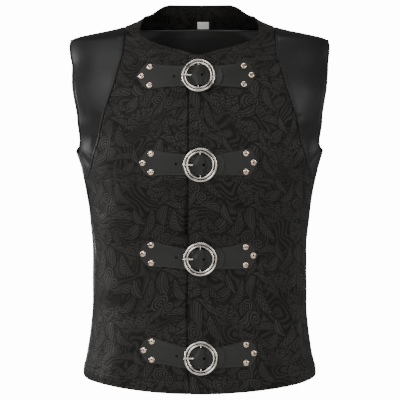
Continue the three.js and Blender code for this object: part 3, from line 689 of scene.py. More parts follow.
def fan_leaves():
    """The leaves of every fan, as rows of the leaf table."""
    rows = []
    for x, y, direction, spread, count, half_length, half_width_mm, bend in FANS:
        for i in range(count):
            share = i / (count - 1) - 0.5
            turned = direction + spread * share
            size = 1 - 0.25 * abs(share)
            reach = half_length * size
            leaf_x = x + reach * math.cos(turned * DEGREE)
            leaf_y = y + reach * math.sin(turned * DEGREE)
            side = -1 if share < 0 else 1
            rows.append((leaf_x, leaf_y, turned, reach, half_width_mm * size, bend * side * 2, 0.7, 0.0))
    return rows


def repeat_place(finish, lattice, x, y, turned):
    """Distances in millimetres along and across a motif of the repeat that lies at x, y and is turned."""
    corner = (x / REPEAT_WIDTH, y / REPEAT_HEIGHT - 0.5 * x / REPEAT_WIDTH, 0)
    off = finish.node("ShaderNodeVectorMath", {"operation": "SUBTRACT"}, [lattice, corner])
    near = finish.node("ShaderNodeVectorMath", {"operation": "WRAP"}, [off, (0.5, 0.5, 1), (-0.5, -0.5, -1)])
    cos, sin = math.cos(turned * DEGREE), math.sin(turned * DEGREE)
    half_drop = REPEAT_HEIGHT / 2
    along = (REPEAT_WIDTH * cos + half_drop * sin, REPEAT_HEIGHT * sin, 0)
    across = (-REPEAT_WIDTH * sin + half_drop * cos, REPEAT_HEIGHT * cos, 0)
    return finish.along(near, along), finish.along(near, across)


def brocade_figure(finish):
    """The woven pattern: 0 on the ground and up to 1 on the lines of its leaves and scrolls."""
    cloth = finish.cloth()
    for scale, reach in SWAYS:
        drift = {"Vector": cloth, "Scale": scale, "Detail": 0.5}
        loose = finish.node("ShaderNodeTexNoise", inputs=drift, output="Color")
        centred = finish.node("ShaderNodeVectorMath", {"operation": "SUBTRACT"}, [loose, (0.5, 0.5, 0.5)])
        sway = finish.node("ShaderNodeVectorMath", {"operation": "SCALE"}, {0: centred, "Scale": reach})
        cloth = finish.node("ShaderNodeVectorMath", {"operation": "ADD"}, [cloth, sway])
    lattice_u = finish.along(cloth, (1000 / REPEAT_WIDTH, 0, 0))
    lattice_v = finish.along(cloth, (-500 / REPEAT_WIDTH, 1000 / REPEAT_HEIGHT, 0))
    lattice = finish.node("ShaderNodeCombineXYZ", inputs=[lattice_u, lattice_v])
    flow = (finish.noise(cloth, 17.0, 0.6) * FLOW_LINES).math("SINE")
    tone = flow.times_plus(0.30, 0.26, clamp=True)
    full_turn = 2 * math.pi / LINE_PERIOD
    for x, y, radius, start in SCROLLS:
        along, across = repeat_place(finish, lattice, x, y, 0)
        far = (along * along + across * across) ** 0.5
        turned = across.math("ARCTAN2", along)
        lines = far.times_plus(full_turn * LINE_PERIOD / SCROLL_PITCH, turned + start * 2 * math.pi)
        scroll = lines.math("SINE").times_plus(0.8, 0.5, clamp=True)
        tone = finish.mix_number(far.math("LESS_THAN", radius), tone, scroll)
    for x, y, turned, half_length, leaf_half, bend, slope, swelling in LEAVES + fan_leaves():
        along, across = repeat_place(finish, lattice, x, y, turned)
        squared = along * along
        aside = abs(squared.times_plus(bend, across))
        taper = squared.times_plus(-1 / half_length**2, 1.0)
        if swelling:
            taper = taper * along.times_plus(swelling / half_length, 1.0)
        inside = aside.times_plus(-1 / leaf_half, taper)
        phase = aside * (full_turn * math.sqrt(1 - slope * slope))
        if slope:
            phase = along.times_plus(full_turn * slope, phase)
        leaf = phase.math("SINE").times_plus(0.45, 0.55) * inside.times_plus(5.0, -0.5, clamp=True)
        tone = finish.mix_number(inside.math("GREATER_THAN", 0.0), tone, leaf)
    return tone


def brocade_finish(name, ground, figure_sheen, sheen):
    """Black jacquard: a satin pattern on a duller ground, with a fine weave. The pattern is the real woven one,
    painted lighter than the ground as its painted satin sheen.
    """
    finish = Finish(name, ground, roughness=0.5, sheen=sheen, specular=0.17)
    tone = brocade_figure(finish)
    cloth = finish.cloth()
    mottled = finish.noise(cloth, 26, 3.0)
    # Painted sheen: the pattern's lines are tinted from the ground towards a lighter colour that stands for
    # their satin sheen, with random mottling
    finish.tint(tone * mottled.times_plus(1.3, 0.35), ground, figure_sheen)
    finish.feed("Roughness", tone.times_plus(-0.16, 0.56))
    ribs = finish.along(cloth, RIBS).math("SINE")
    finish.relief(tone.times_plus(0.7, ribs * 0.1), 0.0005, 0.7)
    return finish.material


def reverse_finish(name, ground, figure_sheen):
    """The brocade's reverse: the same cloth, dull."""
    finish = Finish(name, ground, roughness=0.75, specular=0.2)
    cloth = finish.cloth()
    finish.tint(finish.noise(cloth, 60, 3.0), ground, figure_sheen)
    finish.relief(finish.along(cloth, RIBS).math("SINE"), 0.0002, 0.3)
    return finish.material


def leather_finish(name, color, worn, roughness, grain):
    """Smooth grained leather: small pores in slow, soft mottling."""
    finish = Finish(name, color, roughness=roughness, specular=0.36)
    place = finish.place()
    cells = finish.node(
        "ShaderNodeTexVoronoi", {"feature": "SMOOTH_F1"}, {"Vector": place, "Scale": 900.0, "Smoothness": 0.6}
    )
    hide = finish.noise(place, 38, 4.0)
    rub = finish.noise(place, 240, 3.0)
    finish.tint(hide.times_plus(1.6, -0.4, clamp=True), color, worn)
    finish.feed("Roughness", hide.times_plus(0.16, roughness - 0.08) + rub * 0.06)
    finish.relief(cells * grain + rub * (0.7 * grain) + hide, 0.0004, 0.45)
    return finish.material


def lining_finish(name, color, light):
    """Black satin lining with a faint slub."""
    finish = Finish(name, color, roughness=0.38, sheen=0.3, specular=0.5)
    cloth = finish.cloth()
    slub = finish.noise(finish.stretched(cloth, (900, 60, 1)), 1.0, 3.0)
    finish.tint(slub, color, light)
    finish.feed("Roughness", slub.times_plus(0.2, 0.3))
    finish.relief(slub, 0.0001, 0.4)
    return finish.material


def label_finish(name, color, shade):
    """White woven label tape."""
    finish = Finish(name, color, roughness=0.8, sheen=0.2, specular=0.3)
    place = finish.place()
    warp = finish.along(place, (9000, 0, 0)).math("SINE")
    weft = finish.along(place, (0, 0, 7000)).math("SINE")
    finish.tint(finish.noise(place, 400, 2.0), color, shade)
    finish.relief(warp * weft, 0.0001, 0.4)
    return finish.material


def metal_finish(name, color, dull, roughness):
    """Polished nickel plate with a slightly dull bloom and fine rub marks."""
    finish = Finish(name, color, roughness=roughness, metallic=1.0)
    place = finish.place()
    bloom = finish.noise(place, 90, 3.0)
    rubbed = finish.noise(finish.stretched(place, (900, 160, 900)), 1.0, 2.0)
    finish.tint(bloom.times_plus(1.4, -0.3, clamp=True), color, dull)
    finish.feed("Roughness", rubbed.times_plus(0.04, roughness - 0.02))
    return finish.material


def thread_finish(name, color, light):
    """Twisted sewing thread."""
    finish = Finish(name, color, roughness=0.6, sheen=0.2, specular=0.4)
    finish.tint(finish.noise(finish.place(), 900, 2.0), color, light)
    return finish.material


def floor_finish(name, color):
    """Matte studio floor."""
    finish = Finish(name, color, roughness=0.85, specular=0.2)
    finish.tint(finish.noise(finish.place(), 3.0, 2.0), color, shade(color, 0.98))
    return finish.material


# Meshes


def select_only(obj):
    """Makes obj the one selected and active object, in object mode."""
    if bpy.context.object and bpy.context.object.mode != "OBJECT":
        bpy.ops.object.mode_set(mode="OBJECT")
    bpy.ops.object.select_all(action="DESELECT")
    obj.select_set(True)
    bpy.context.view_layer.objects.active = obj


def mesh_object(name, points, faces, uv=None, sides=None):
    """A smooth object from points in millimetres. uv gives each point's place on the cloth, in metres, and
    sides each face's material slot."""
    mesh = bpy.data.meshes.new(name)
    mesh.from_pydata((np.asarray(points, float) * MM).tolist(), [], [list(face) for face in faces])
    if sides is not None:
        mesh.polygons.foreach_set("material_index", np.asarray(sides, np.int32))
    if uv is not None:
        layer = mesh.uv_layers.new(name="cloth")
        corner = np.empty(len(mesh.loops), dtype=np.int32)
        mesh.loops.foreach_get("vertex_index", corner)
        layer.data.foreach_set("uv", np.asarray(uv, np.float32)[corner].ravel())
    obj = bpy.data.objects.new(name, mesh)
    bpy.context.scene.collection.objects.link(obj)
    clean(obj)
    return obj


def clean(obj, distance=0.00002):
    """Merges doubles, drops collapsed faces, turns all faces outwards and shades the mesh smooth."""
    made = bmesh.new()
    made.from_mesh(obj.data)
    bmesh.ops.remove_doubles(made, verts=made.verts, dist=distance)
    bmesh.ops.dissolve_degenerate(made, edges=made.edges, dist=distance / 2)
    bmesh.ops.recalc_face_normals(made, faces=made.faces)
    if made.calc_volume(signed=True) < 0:
        bmesh.ops.reverse_faces(made, faces=made.faces)
    for face in made.faces:
        face.smooth = True
    made.to_mesh(obj.data)
    made.free()
    obj.data.update()


def grid_faces(rows, columns, start=0, flip=False):
    """Quads of a grid whose points are numbered row by row from start."""
    row, column = np.meshgrid(np.arange(rows - 1), np.arange(columns - 1), indexing="ij")
    a = start + row * columns + column
    quads = np.stack([a, a + columns, a + columns + 1, a + 1], axis=-1).reshape(-1, 4)
    return quads[:, ::-1] if flip else quads


def rim_faces(rows, columns):
    """Quads that join the rims of two equal grids, numbered one after the other."""
    size = rows * columns
    top = np.arange(columns)
    left = np.arange(rows) * columns
    quads = []
    for rim, flip in ((top, 0), (top + size - columns, 1), (left, 1), (left + columns - 1, 0)):
        one, two = rim[:-1], rim[1:]
        ring = np.stack([one, two, two + size, one + size], axis=-1)
        quads.append(ring[:, ::-1] if flip else ring)
    return np.concatenate(quads)


def closed_sheet(name, outer, inner, uv):
    """A closed wall between two grids of points. The inner grid's faces use the second material slot."""
    rows, columns, _ = outer.shape
    points = np.concatenate([outer.reshape(-1, 3), inner.reshape(-1, 3)])
    inside = grid_faces(rows, columns, start=rows * columns, flip=True)
    shell = [grid_faces(rows, columns), inside, rim_faces(rows, columns)]
    sides = np.repeat([0, 1, 0], [len(part) for part in shell])
    flat_uv = uv.reshape(-1, 2)
    return mesh_object(name, points, np.concatenate(shell), np.concatenate([flat_uv, flat_uv]), sides)


def paint(obj, outer_material, inner_material=None):
    """Gives a piece its material, and a closed sheet's inner faces another one."""
    for wanted in (outer_material, inner_material or outer_material):
        obj.data.materials.append(wanted)


def ride(obj, slot, *nodes):
    """Ties a piece to the vest's one body and hides the frame nodes that it stands for. slot is not used."""
    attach(obj, "root")
    if nodes:
        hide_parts(*nodes)


def arc_lengths(points, axis):
    """Running distance along one axis of a grid of points."""
    steps = np.linalg.norm(np.diff(points, axis=axis), axis=-1)
    start = np.zeros_like(np.take(steps, [0], axis=axis))
    return np.concatenate([start, np.cumsum(steps, axis=axis)], axis=axis)


def resampled(points, spacing):
    """A line of points at an even spacing."""
    far = arc_lengths(points, 0)
    count = max(int(far[-1] / spacing), 2)
    at = np.linspace(0, far[-1], count + 1)
    return np.stack([np.interp(at, far, points[:, i]) for i in range(3)], axis=-1)


# Spacing of a line's points, and how many points are measured at once
LINE_SPACING = 1.2
BLOCK = 4000


def near_line(points, line):
    """Each point's distance from a line, and how far along the line its nearest place lies."""
    line = resampled(line, LINE_SPACING)
    flat = points.reshape(-1, 3)
    far = np.empty(len(flat))
    along = np.empty(len(flat))
    for first in range(0, len(flat), BLOCK):
        block = flat[first:first + BLOCK]
        squared = (block**2).sum(1)[:, None] + (line**2).sum(1)[None] - 2 * block @ line.T
        nearest = squared.argmin(axis=1)
        far[first:first + BLOCK] = np.sqrt(np.maximum(squared[np.arange(len(block)), nearest], 0))
        along[first:first + BLOCK] = nearest * LINE_SPACING
    shape = points.shape[:-1]
    return far.reshape(shape), along.reshape(shape)


# How an edge is finished: radius of its rounding, width and puff of its turned band, depth of the sewn
# groove beside the band, and height of the puckers that the sewing draws
SEAM = {"round": 0.7, "band": 0, "puff": 0, "groove": 0, "pucker": 0.35}
UNDER_SEAM = {"round": 0.6, "band": 0.4, "puff": 0, "groove": 1.1, "pucker": 0.4}
SHOULDER_SEAM = {"round": 0.6, "band": 4.8, "puff": 0.5, "groove": 1.6, "pucker": 0}
TURNED = {"round": 0.75, "band": 5, "puff": 0.35, "groove": 0.3, "pucker": 0.25}
HEM = {"round": 0.75, "band": 19, "puff": 0.6, "groove": 0.5, "pucker": 0.6}
LEATHER_EDGE = {"round": 0.75, "band": 4.5, "puff": 0.8, "groove": 1.2, "pucker": 0.1}
LEATHER_SEAM_EDGE = {"round": 0.7, "band": 3.2, "puff": 0.8, "groove": 0.9, "pucker": 0.2}
RAW = {"round": 0.6, "band": 0, "puff": 0, "groove": 0, "pucker": 0}


def edge_relief(points, edges):
    """The rise that the finish of a panel's edges gives it, and the rounding that thins its rim."""
    rise, rounding = np.zeros(points.shape[:-1]), np.zeros(points.shape[:-1])
    for line, kind in edges:
        far, along = near_line(points, line)
        radius = kind["round"]
        near = np.clip(radius - far, 0, radius)
        rounding = np.maximum(rounding, radius - np.sqrt(radius**2 - near**2))
        band = kind["band"]
        if band:
            rise += kind["puff"] * smoothstep(far, 0, 2.5) * (1 - smoothstep(far, band - 1.5, band + 0.5))
        rise -= kind["groove"] * np.exp(-(((far - band) / 1.1) ** 2))
        ripple = np.sin(along / 1.9 + 2.1 * np.sin(along / 23)) * (0.6 + 0.4 * np.sin(along / 37 + 1))
        reach = 6 + band * 0.4
        drawn = np.exp(-(((far - band * 0.9) / reach) ** 2))
        rise += kind["pucker"] * ripple * drawn * smoothstep(far, 0.5, 3)
    return rise, rounding


# Distances of the crowded columns from a panel's edge
NEAR_EDGE = np.array([0, 0.12, 0.35, 0.7, 1.2, 2.2, 3.4, 5.0])


def column_shares(width, count):
    """Shares of a row's width for its columns: crowded at both ends, then even."""
    crowd = np.minimum(1, width / (2.6 * NEAR_EDGE[-1]))[:, None]
    near = NEAR_EDGE[None] * crowd / np.maximum(width, 0.01)[:, None]
    inner = near[:, -1:] + (1 - 2 * near[:, -1:]) * np.linspace(0, 1, count)[None, 1:-1]
    return np.concatenate([near, inner, 1 - near[:, ::-1]], axis=1)


def spread_rows(stops):
    """Row heights that pass each stop, with the spacing given from it to the next. stops: height, spacing."""
    rows = []
    for (top, spacing), (bottom, _) in zip(stops[:-1], stops[1:]):
        count = max(int(round((top - bottom) / spacing)), 1)
        rows += list(np.linspace(top, bottom, count, endpoint=False))
    return np.array(rows + [stops[-1][0]])


# Each panel's outer face, on which the stitching finds its places
PANELS = {}

# The most that an edge's rounding takes from either face, as a share of the thickness
ROUNDING_SHARE = 0.46


def panel(name, rows, start_edge, end_edge, side, lift, thick, edges, count, half, draped=True):
    """A panel of cloth between two edge angles, with its outer face on the form and its edges finished.

    side is 1 at the wearer's left and -1 at the right. edges lists lines of (angle, height) functions.
    """
    start, end = start_edge(rows), end_edge(rows)
    turned_by = form_point(start + DEGREE, rows) - form_point(start, rows)
    per_radian = np.linalg.norm(turned_by, axis=-1) / DEGREE
    width = np.abs(end - start) * per_radian
    past = np.sign(end - start) * SEAM_OVERLAP / per_radian
    shares = column_shares(width + 2 * SEAM_OVERLAP, count)
    angle = (start - past)[:, None] + (end - start + 2 * past)[:, None] * shares
    true_angle = on_side(angle, side)
    level = np.broadcast_to(rows[:, None], angle.shape)
    rise, normal = cloth_rise(true_angle, level, draped), form_normal(true_angle, level)
    base = form_point(true_angle, level) + normal * rise[..., None]
    relief, rounding = edge_relief(base, [(line(side), kind) for line, kind in edges])
    laid = lift(true_angle, level)
    rounding = np.minimum(rounding, ROUNDING_SHARE * thick)
    outer = base + normal * (laid + relief - rounding)[..., None]
    inner = base + normal * (laid + np.minimum(relief, relief / 2) - thick + rounding)[..., None]
    shoulder = level >= SHOULDER_TIP - 0.5
    for layer in (outer, inner):
        y = layer[..., 1]
        limit = np.minimum(y, RIDGE_OVERLAP) if half == "front" else np.maximum(y, -RIDGE_OVERLAP)
        layer[..., 1] = np.where(shoulder, limit, y)
    across = arc_lengths(base, 1)
    centre = across[:, -1:] if half == "front" else across[:, -1:] / 2
    down = arc_lengths(base, 0)
    middle = np.broadcast_to(down[:, down.shape[1] // 2][:, None], down.shape)
    uv = np.stack([(across - centre) * side, -(middle if half == "back" else down)], axis=-1) * MM
    obj = closed_sheet(name + "_worn", outer, inner, uv)
    PANELS[name] = BVHTree.FromPolygons(
        [Vector(p) for p in outer.reshape(-1, 3)], [list(q) for q in grid_faces(*outer.shape[:2])]
    )
    return obj


# Lines on the cloth, from the top down, as functions of a side: 1 at the wearer's left, -1 at the right


def edge_line(edge, top, bottom):
    """The line of an edge function between two heights."""

    def line(side):
        z = np.linspace(top, bottom, max(int(abs(top - bottom) / 0.8), 8))
        return cloth_point(on_side(edge(z), side), z, 0)

    return line


def level_line(z, start, end):
    """The line at one height between two angles."""

    def line(side):
        angle = np.linspace(start, end, 320)
        return cloth_point(on_side(angle, side), np.full_like(angle, z), 0)

    return line


# Rows of each panel's mesh: height, spacing down to the next
HEM_STOPS = [(SIDE_HEM + 7, 1.0), (SIDE_HEM + 1.5, 0.3), (SIDE_HEM, 1)]
FRONT_ROWS = spread_rows([(0, 1.2), (-19, 0.9), (-50, 1.8), (-75, 3.2)] + HEM_STOPS)
BACK_ROWS = spread_rows([(BACK_NECK_TOP, 0.5), (20, 1.2), (-19, 0.9), (-50, 2.2), (-80, 3.4), (-236, 1.6),
                         (-288, 3.4)] + HEM_STOPS)
LEATHER_ROWS = spread_rows([(SEAM_TOP, 0.9), (-50, 2.2), (-75, 3.0), (-226, 1.2), (-240, 0.9), (-250, 2.4),
                            (LEATHER_TIP + 4, 0.8), (LEATHER_TIP, 1)])
FACING_INSET = 0.6
FACING_ROWS = spread_rows([(BACK_NECK_TOP - FACING_INSET, 0.5), (20, 1.5), (FACING_EDGE, 1)])
LINING_TOP = FACING_EDGE - 0.9
LINING_HEM = SIDE_HEM + 12
LINING_ROWS = spread_rows([(LINING_TOP, 2.0), (-60, 4.5), (LINING_HEM, 1)])
FACING_LIFT = -3.3
FACING_THICK = 1.0
LINING_LIFT = -3.7
LINING_SLACK = 4.6
LINING_SLACK_FROM = 10
LINING_SLACK_FULL = 36
LINING_EDGE = 5 * DEGREE

# Where the upper front stands off between the straps: height, half length, rise
GAPES = [(-181, 40, 1.0), (-338, 52, 2.6), (-500, 44, 1.3)]


def gape(x, z):
    """The standing off of the upper front's edge between the straps."""
    total = np.zeros(np.broadcast(x, z).shape)
    for level, half_length, rise in GAPES:
        total += rise * np.exp(-(((z - level) / half_length) ** 4)) * (1 - smoothstep(x, -16, 34))
    return total


def upper_front_lift(angle, z):
    """How far the upper front lies out from the form."""
    x = form_point(angle, z)[..., 0]
    return overlap_lift(x) + gape(x, z)


# How far the lower front sinks beside the upper one's edge: height, width, depth. It is down in full at a
# share of the width before that edge.
SINK = [
    (NECK_BOTTOM + 9, 2.6, 0.6), (-92, 3.0, 2.6), (-230, 3.4, 3.0), (-300, 4.0, 3.4), (-328, 9.0, 4.8),
    (-366, 9.0, 4.8), (-400, 4.6, 3.6), (-455, 4.6, 3.4), (-540, 4.2, 3.2), (-640, 4.0, 2.6),
    (-665, 4.0, 2.0),
]
SINK_FULL_SHARE = 0.35
sink_width = column_curve(SINK, 1)
sink_depth = column_curve(SINK, 2)


def lower_front_lift(angle, z):
    """How far the lower front lies out from the form: it sinks beside and under the upper one's edge."""
    x, edge = form_point(angle, z)[..., 0], overlap_x(z)
    full = edge - SINK_FULL_SHARE * sink_width(z)
    return -sink_depth(z) * smoothstep(x, edge - sink_width(z), full)


def level_lift(value):
    """The same lift everywhere."""
    return lambda angle, z: np.full(np.broadcast(angle, z).shape, float(value))


def lining_lift(angle, z):
    """The lining hangs loose, in soft uneven vertical folds."""
    slack = LINING_SLACK * smoothstep(-z, LINING_SLACK_FROM, LINING_SLACK_FULL)
    turned = angle / DEGREE
    folds = np.sin(turned / 4.1 + 0.9 * np.sin(z / 60)) + 0.6 * np.sin(turned / 2.3 + z / 90)
    return LINING_LIFT - slack - smoothstep(-z, 22, 60) * (1.6 + 1.1 * folds)


class VestCloth(bpy.types.PropertyGroup):
    """Sizes and colours of the vest's cloth and leather."""

    brocade_thickness: FloatProperty(
        name="Brocade thickness", description="Thickness of the brocade with its backing", default=1.2 * MM,
        min=0.0005, max=0.003, subtype="DISTANCE", unit="LENGTH",
    )
    leather_thickness: FloatProperty(
        name="Leather thickness", description="Thickness of the shoulder yokes' leather", default=1.5 * MM,
        min=0.0008, max=0.003, subtype="DISTANCE", unit="LENGTH",
    )
    lining_thickness: FloatProperty(
        name="Lining thickness", description="Thickness of the satin lining", default=0.8 * MM,
        min=0.0003, max=0.002, subtype="DISTANCE", unit="LENGTH",
    )
    columns: IntProperty(
        name="Columns", description="Columns of mesh points across a front", default=74, min=20, max=140,
    )
    ground: FloatVectorProperty(
        name="Ground", description="Colour of the brocade's ground", default=(0.0046, 0.0042, 0.0036), size=3,
        min=0, max=1, subtype="COLOR",
    )
    # Lighter colour of the real woven pattern, which holds its painted satin sheen
    figure_sheen: FloatVectorProperty(
        name="Figure", description="Colour of the brocade's woven figure", default=(0.0360, 0.0335, 0.0290),
        size=3, min=0, max=1, subtype="COLOR",
    )
    leather: FloatVectorProperty(
        name="Leather", description="Colour of the shoulder yokes", default=(0.0065, 0.0065, 0.0064), size=3,
        min=0, max=1, subtype="COLOR",
    )
    leather_worn: FloatVectorProperty(
        name="Worn leather", description="Lighter mottling of the shoulder yokes",
        default=(0.0105, 0.0105, 0.0103), size=3, min=0, max=1, subtype="COLOR",
    )
    lining: FloatVectorProperty(
        name="Lining", description="Colour of the satin lining", default=(0.014, 0.0135, 0.0130), size=3,
        min=0, max=1, subtype="COLOR",
    )
    label: FloatVectorProperty(
        name="Label", description="Colour of the blank label", default=(0.93, 0.92, 0.90), size=3,
        min=0, max=1, subtype="COLOR",
    )


class VestHardware(bpy.types.PropertyGroup):
    """Sizes and colours of the straps, buckles and rivets."""

    strap_thickness: FloatProperty(
        name="Strap thickness", description="Thickness of the pointed straps", default=STRAP_THICK * MM,
        min=0.0008, max=0.003, subtype="DISTANCE", unit="LENGTH",
    )
    ring_diameter: FloatProperty(
        name="Ring diameter", description="Outer diameter of the round buckles", default=2 * FRAME_OUTER * MM,
        min=0.03, max=0.09, subtype="DISTANCE", unit="LENGTH",
    )
    rivet_diameter: FloatProperty(
        name="Rivet diameter", description="Diameter of the rivets' caps", default=2 * RIVET_RADIUS * MM,
        min=0.004, max=0.02, subtype="DISTANCE", unit="LENGTH",
    )
    ring_steps: IntProperty(
        name="Ring steps", description="Steps round each buckle", default=112, min=24, max=200,
    )
    strap: FloatVectorProperty(
        name="Strap", description="Colour of the straps' leather", default=(0.0130, 0.0136, 0.0118), size=3,
        min=0, max=1, subtype="COLOR",
    )
    strap_worn: FloatVectorProperty(
        name="Worn strap", description="Lighter mottling of the straps", default=(0.0215, 0.0220, 0.0195),
        size=3, min=0, max=1, subtype="COLOR",
    )
    metal: FloatVectorProperty(
        name="Metal", description="Colour of the nickel plate", default=(0.97, 0.92, 0.85), size=3,
        min=0, max=1, subtype="COLOR",
    )
    metal_dull: FloatVectorProperty(
        name="Dull metal", description="Colour of the plate where it is dull", default=(0.86, 0.78, 0.68),
        size=3, min=0, max=1, subtype="COLOR",
    )
    # The dark metal painted into the buckles' groove as painted shade and into the rivets' dimples as a painted
    # dark reflection
    recess: FloatVectorProperty(
        name="Recess", description="Colour of the tarnish in the buckles' groove and the rivets' dimples",
        default=(0.075, 0.062, 0.052), size=3, min=0, max=1, subtype="COLOR",
    )
    rivet: FloatVectorProperty(
        name="Rivet", description="Colour of the rivets' warm plate", default=(0.92, 0.74, 0.58), size=3,
        min=0, max=1, subtype="COLOR",
    )
    rivet_dull: FloatVectorProperty(
        name="Dull rivet", description="Colour of the rivets' plate where it is dull",
        default=(0.72, 0.53, 0.38), size=3, min=0, max=1, subtype="COLOR",
    )
    thread: FloatVectorProperty(
        name="Thread", description="Colour of the sewing thread", default=(0.036, 0.036, 0.034), size=3,
        min=0, max=1, subtype="COLOR",
    )


class VestStage(bpy.types.PropertyGroup):
    """The studio: camera, lights and floor."""

    distance: FloatProperty(
        name="Camera distance", description="Distance of the camera from the vest", default=2.75,
        min=1, max=10, subtype="DISTANCE", unit="LENGTH",
    )
    elevation: FloatProperty(
        name="Camera elevation", description="Angle of the camera above the horizon", default=4 * DEGREE,
        min=-0.5, max=1.5, subtype="ANGLE", unit="ROTATION",
    )
    target_height: FloatProperty(
        name="Target height", description="Height that the camera looks at", default=-0.324,
        min=-1, max=1, subtype="DISTANCE", unit="LENGTH",
    )
    lens: FloatProperty(
        name="Lens", description="Focal length of the camera", default=139.8, min=20, max=400, unit="CAMERA",
    )
    floor_height: FloatProperty(
        name="Floor height", description="Height of the studio floor", default=-1.45,
        min=-3, max=-0.7, subtype="DISTANCE", unit="LENGTH",
    )
    floor: FloatVectorProperty(
        name="Floor", description="Colour of the studio floor", default=(0.93, 0.93, 0.92), size=3,
        min=0, max=1, subtype="COLOR",
    )


def cloth_settings():
    return bpy.context.scene.vest_cloth


def hardware_settings():
    return bpy.context.scene.vest_hardware


def material(name, finish, *values):
    """The material of that name, made once by a finish function with these values."""
    return bpy.data.materials.get(name) or finish(name, *values)


def brocade():
    cloth = cloth_settings()
    return material("black_brocade", brocade_finish, tuple(cloth.ground), tuple(cloth.figure_sheen), 0.03)


def reverse():
    cloth = cloth_settings()
    return material("black_brocade_reverse", reverse_finish, tuple(cloth.ground), tuple(cloth.figure_sheen))


def yoke_leather():
    color, worn = cloth_settings().leather, cloth_settings().leather_worn
    return material("yoke_leather", leather_finish, tuple(color), tuple(worn), 0.42, 0.07)


def strap_leather():
    color, worn = hardware_settings().strap, hardware_settings().strap_worn
    return material("strap_leather", leather_finish, tuple(color), tuple(worn), 0.46, 0.16)


def nickel():
    color, dull = hardware_settings().metal, hardware_settings().metal_dull
    return material("nickel", metal_finish, tuple(color), tuple(dull), 0.19)


def warm_nickel():
    color, dull = hardware_settings().rivet, hardware_settings().rivet_dull
    return material("warm_nickel", metal_finish, tuple(color), tuple(dull), 0.19)


def tarnish():
    """Dark metal painted into the buckles' groove as painted shade and into the rivets' dimples as a painted
    dark reflection.
    """
    dark = tuple(hardware_settings().recess)
    return material("tarnish", metal_finish, dark, shade(dark, 0.6), 0.5)


def thread():
    color = tuple(hardware_settings().thread)
    return material("thread", thread_finish, color, shade(color, 1.5))


CAMERA_ASIDE = 0.7 * MM

# The studio's soft lights: name, place, width and height, power
LIGHTS = [
    ("key", (-1.7, -2.2, 1.1), (1.3, 1.4), 32),
    ("fill", (2.0, -1.9, 0.4), (0.5, 1.2), 16),
    ("top", (0.1, -0.9, 2.1), (1.8, 0.7), 18),
    ("left_strip", (-1.1, -2.9, 0.1), (0.5, 1.6), 14),
    ("right_strip", (0.85, -3.0, -0.2), (0.35, 1.4), 9),
    ("left_rim", (-2.3, 0.3, -0.1), (0.5, 0.6), 29),
    ("right_rim", (2.3, 0.4, -0.2), (0.5, 0.8), 6),
    ("back", (-0.5, 2.6, -0.5), (1.6, 1.1), 26),
]

# Strength of the white ground that the camera sees, and of the glow that lights the vest from all round
SEEN_WHITE = 14
GLOW = 0.13


class VEST_OT_stage(bpy.types.Operator):
    """Places the floor, the soft studio lights and the camera"""

    bl_idname = "vest.stage"
    bl_label = "Stage"

    def execute(self, context):
        stage = context.scene.vest_stage
        bpy.ops.mesh.primitive_circle_add(
            vertices=96, radius=3, fill_type="NGON", location=(0, 0, stage.floor_height)
        )
        floor = context.object
        floor.name = "studio_floor"
        bpy.ops.object.transform_apply(location=True, rotation=True, scale=True)
        paint(floor, floor_finish("floor", tuple(stage.floor)))

        tilt, off = stage.elevation, stage.distance
        place = (CAMERA_ASIDE, -off * math.cos(tilt), stage.target_height + off * math.sin(tilt))
        bpy.ops.object.camera_add(location=place, rotation=(math.pi / 2 - tilt, 0, 0))
        camera = context.object
        camera.name = "camera"
        camera.data.lens = stage.lens
        camera.data.sensor_width = 36
        camera.data.clip_end = 60
        context.scene.camera = camera

        aim = Vector((0, 0, stage.target_height))
        for name, spot, (wide, high), power in LIGHTS:
            bpy.ops.object.light_add(type="AREA", location=spot)
            light = context.object
            light.name = name
            light.data.shape = "RECTANGLE"
            light.data.size, light.data.size_y = wide, high
            light.data.energy = power
            light.rotation_euler = (aim - Vector(spot)).to_track_quat("-Z", "Y").to_euler()

        world = bpy.data.worlds.new("studio")
        world.use_nodes = True
        nodes, links = world.node_tree.nodes, world.node_tree.links
        seen = nodes["Background"]
        seen.inputs["Color"].default_value = (1, 1, 1, 1)
        seen.inputs["Strength"].default_value = SEEN_WHITE
        around = nodes.new("ShaderNodeBackground")
        around.inputs["Color"].default_value = (0.95, 0.97, 1, 1)
        around.inputs["Strength"].default_value = GLOW
        path, mix = nodes.new("ShaderNodeLightPath"), nodes.new("ShaderNodeMixShader")
        links.new(path.outputs["Is Camera Ray"], mix.inputs[0])
        links.new(around.outputs[0], mix.inputs[1])
        links.new(seen.outputs[0], mix.inputs[2])
        links.new(mix.outputs[0], nodes["World Output"].inputs["Surface"])
        context.scene.world = world
        return {"FINISHED"}


# The two sides of the wearer, and the yokes' halves with their armhole and seam edges
SIDES = (("left", 1), ("right", -1))
YOKES = (
    ("front", front_armhole_edge, front_leather_edge),
    ("back", back_armhole_edge, back_leather_edge),
)


class VEST_OT_fronts(bpy.types.Operator):
    """Makes the two brocade fronts, the wearer's left one lapped over the right"""

    bl_idname = "vest.fronts"
    bl_label = "Fronts"

    def execute(self, context):
        cloth = cloth_settings()
        for (word, side), lift in zip(SIDES, (upper_front_lift, lower_front_lift)):
            name = "front_" + word
            edges = [
                (edge_line(front_inner_edge, 0, NECK_BOTTOM), TURNED),
                (edge_line(front_inner_edge, NECK_BOTTOM, SIDE_HEM), TURNED if side > 0 else RAW),
                (edge_line(front_leather_edge, SEAM_TOP, LEATHER_TIP), UNDER_SEAM),
                (edge_line(front_leather_edge, LEATHER_TIP, SIDE_HEM), SEAM),
                (level_line(SIDE_HEM, SIDE_SEAM, math.pi / 2 + 0.12), HEM),
                (edge_line(ridge_edge, 0, SEAM_TOP), SEAM),
            ]
            front = panel(
                name, FRONT_ROWS, front_leather_edge, front_inner_edge, side, lift,
                cloth.brocade_thickness / MM, edges, cloth.columns, half="front",
            )
            paint(front, brocade(), reverse())
            ride(front, "brocade", name)
        return {"FINISHED"}


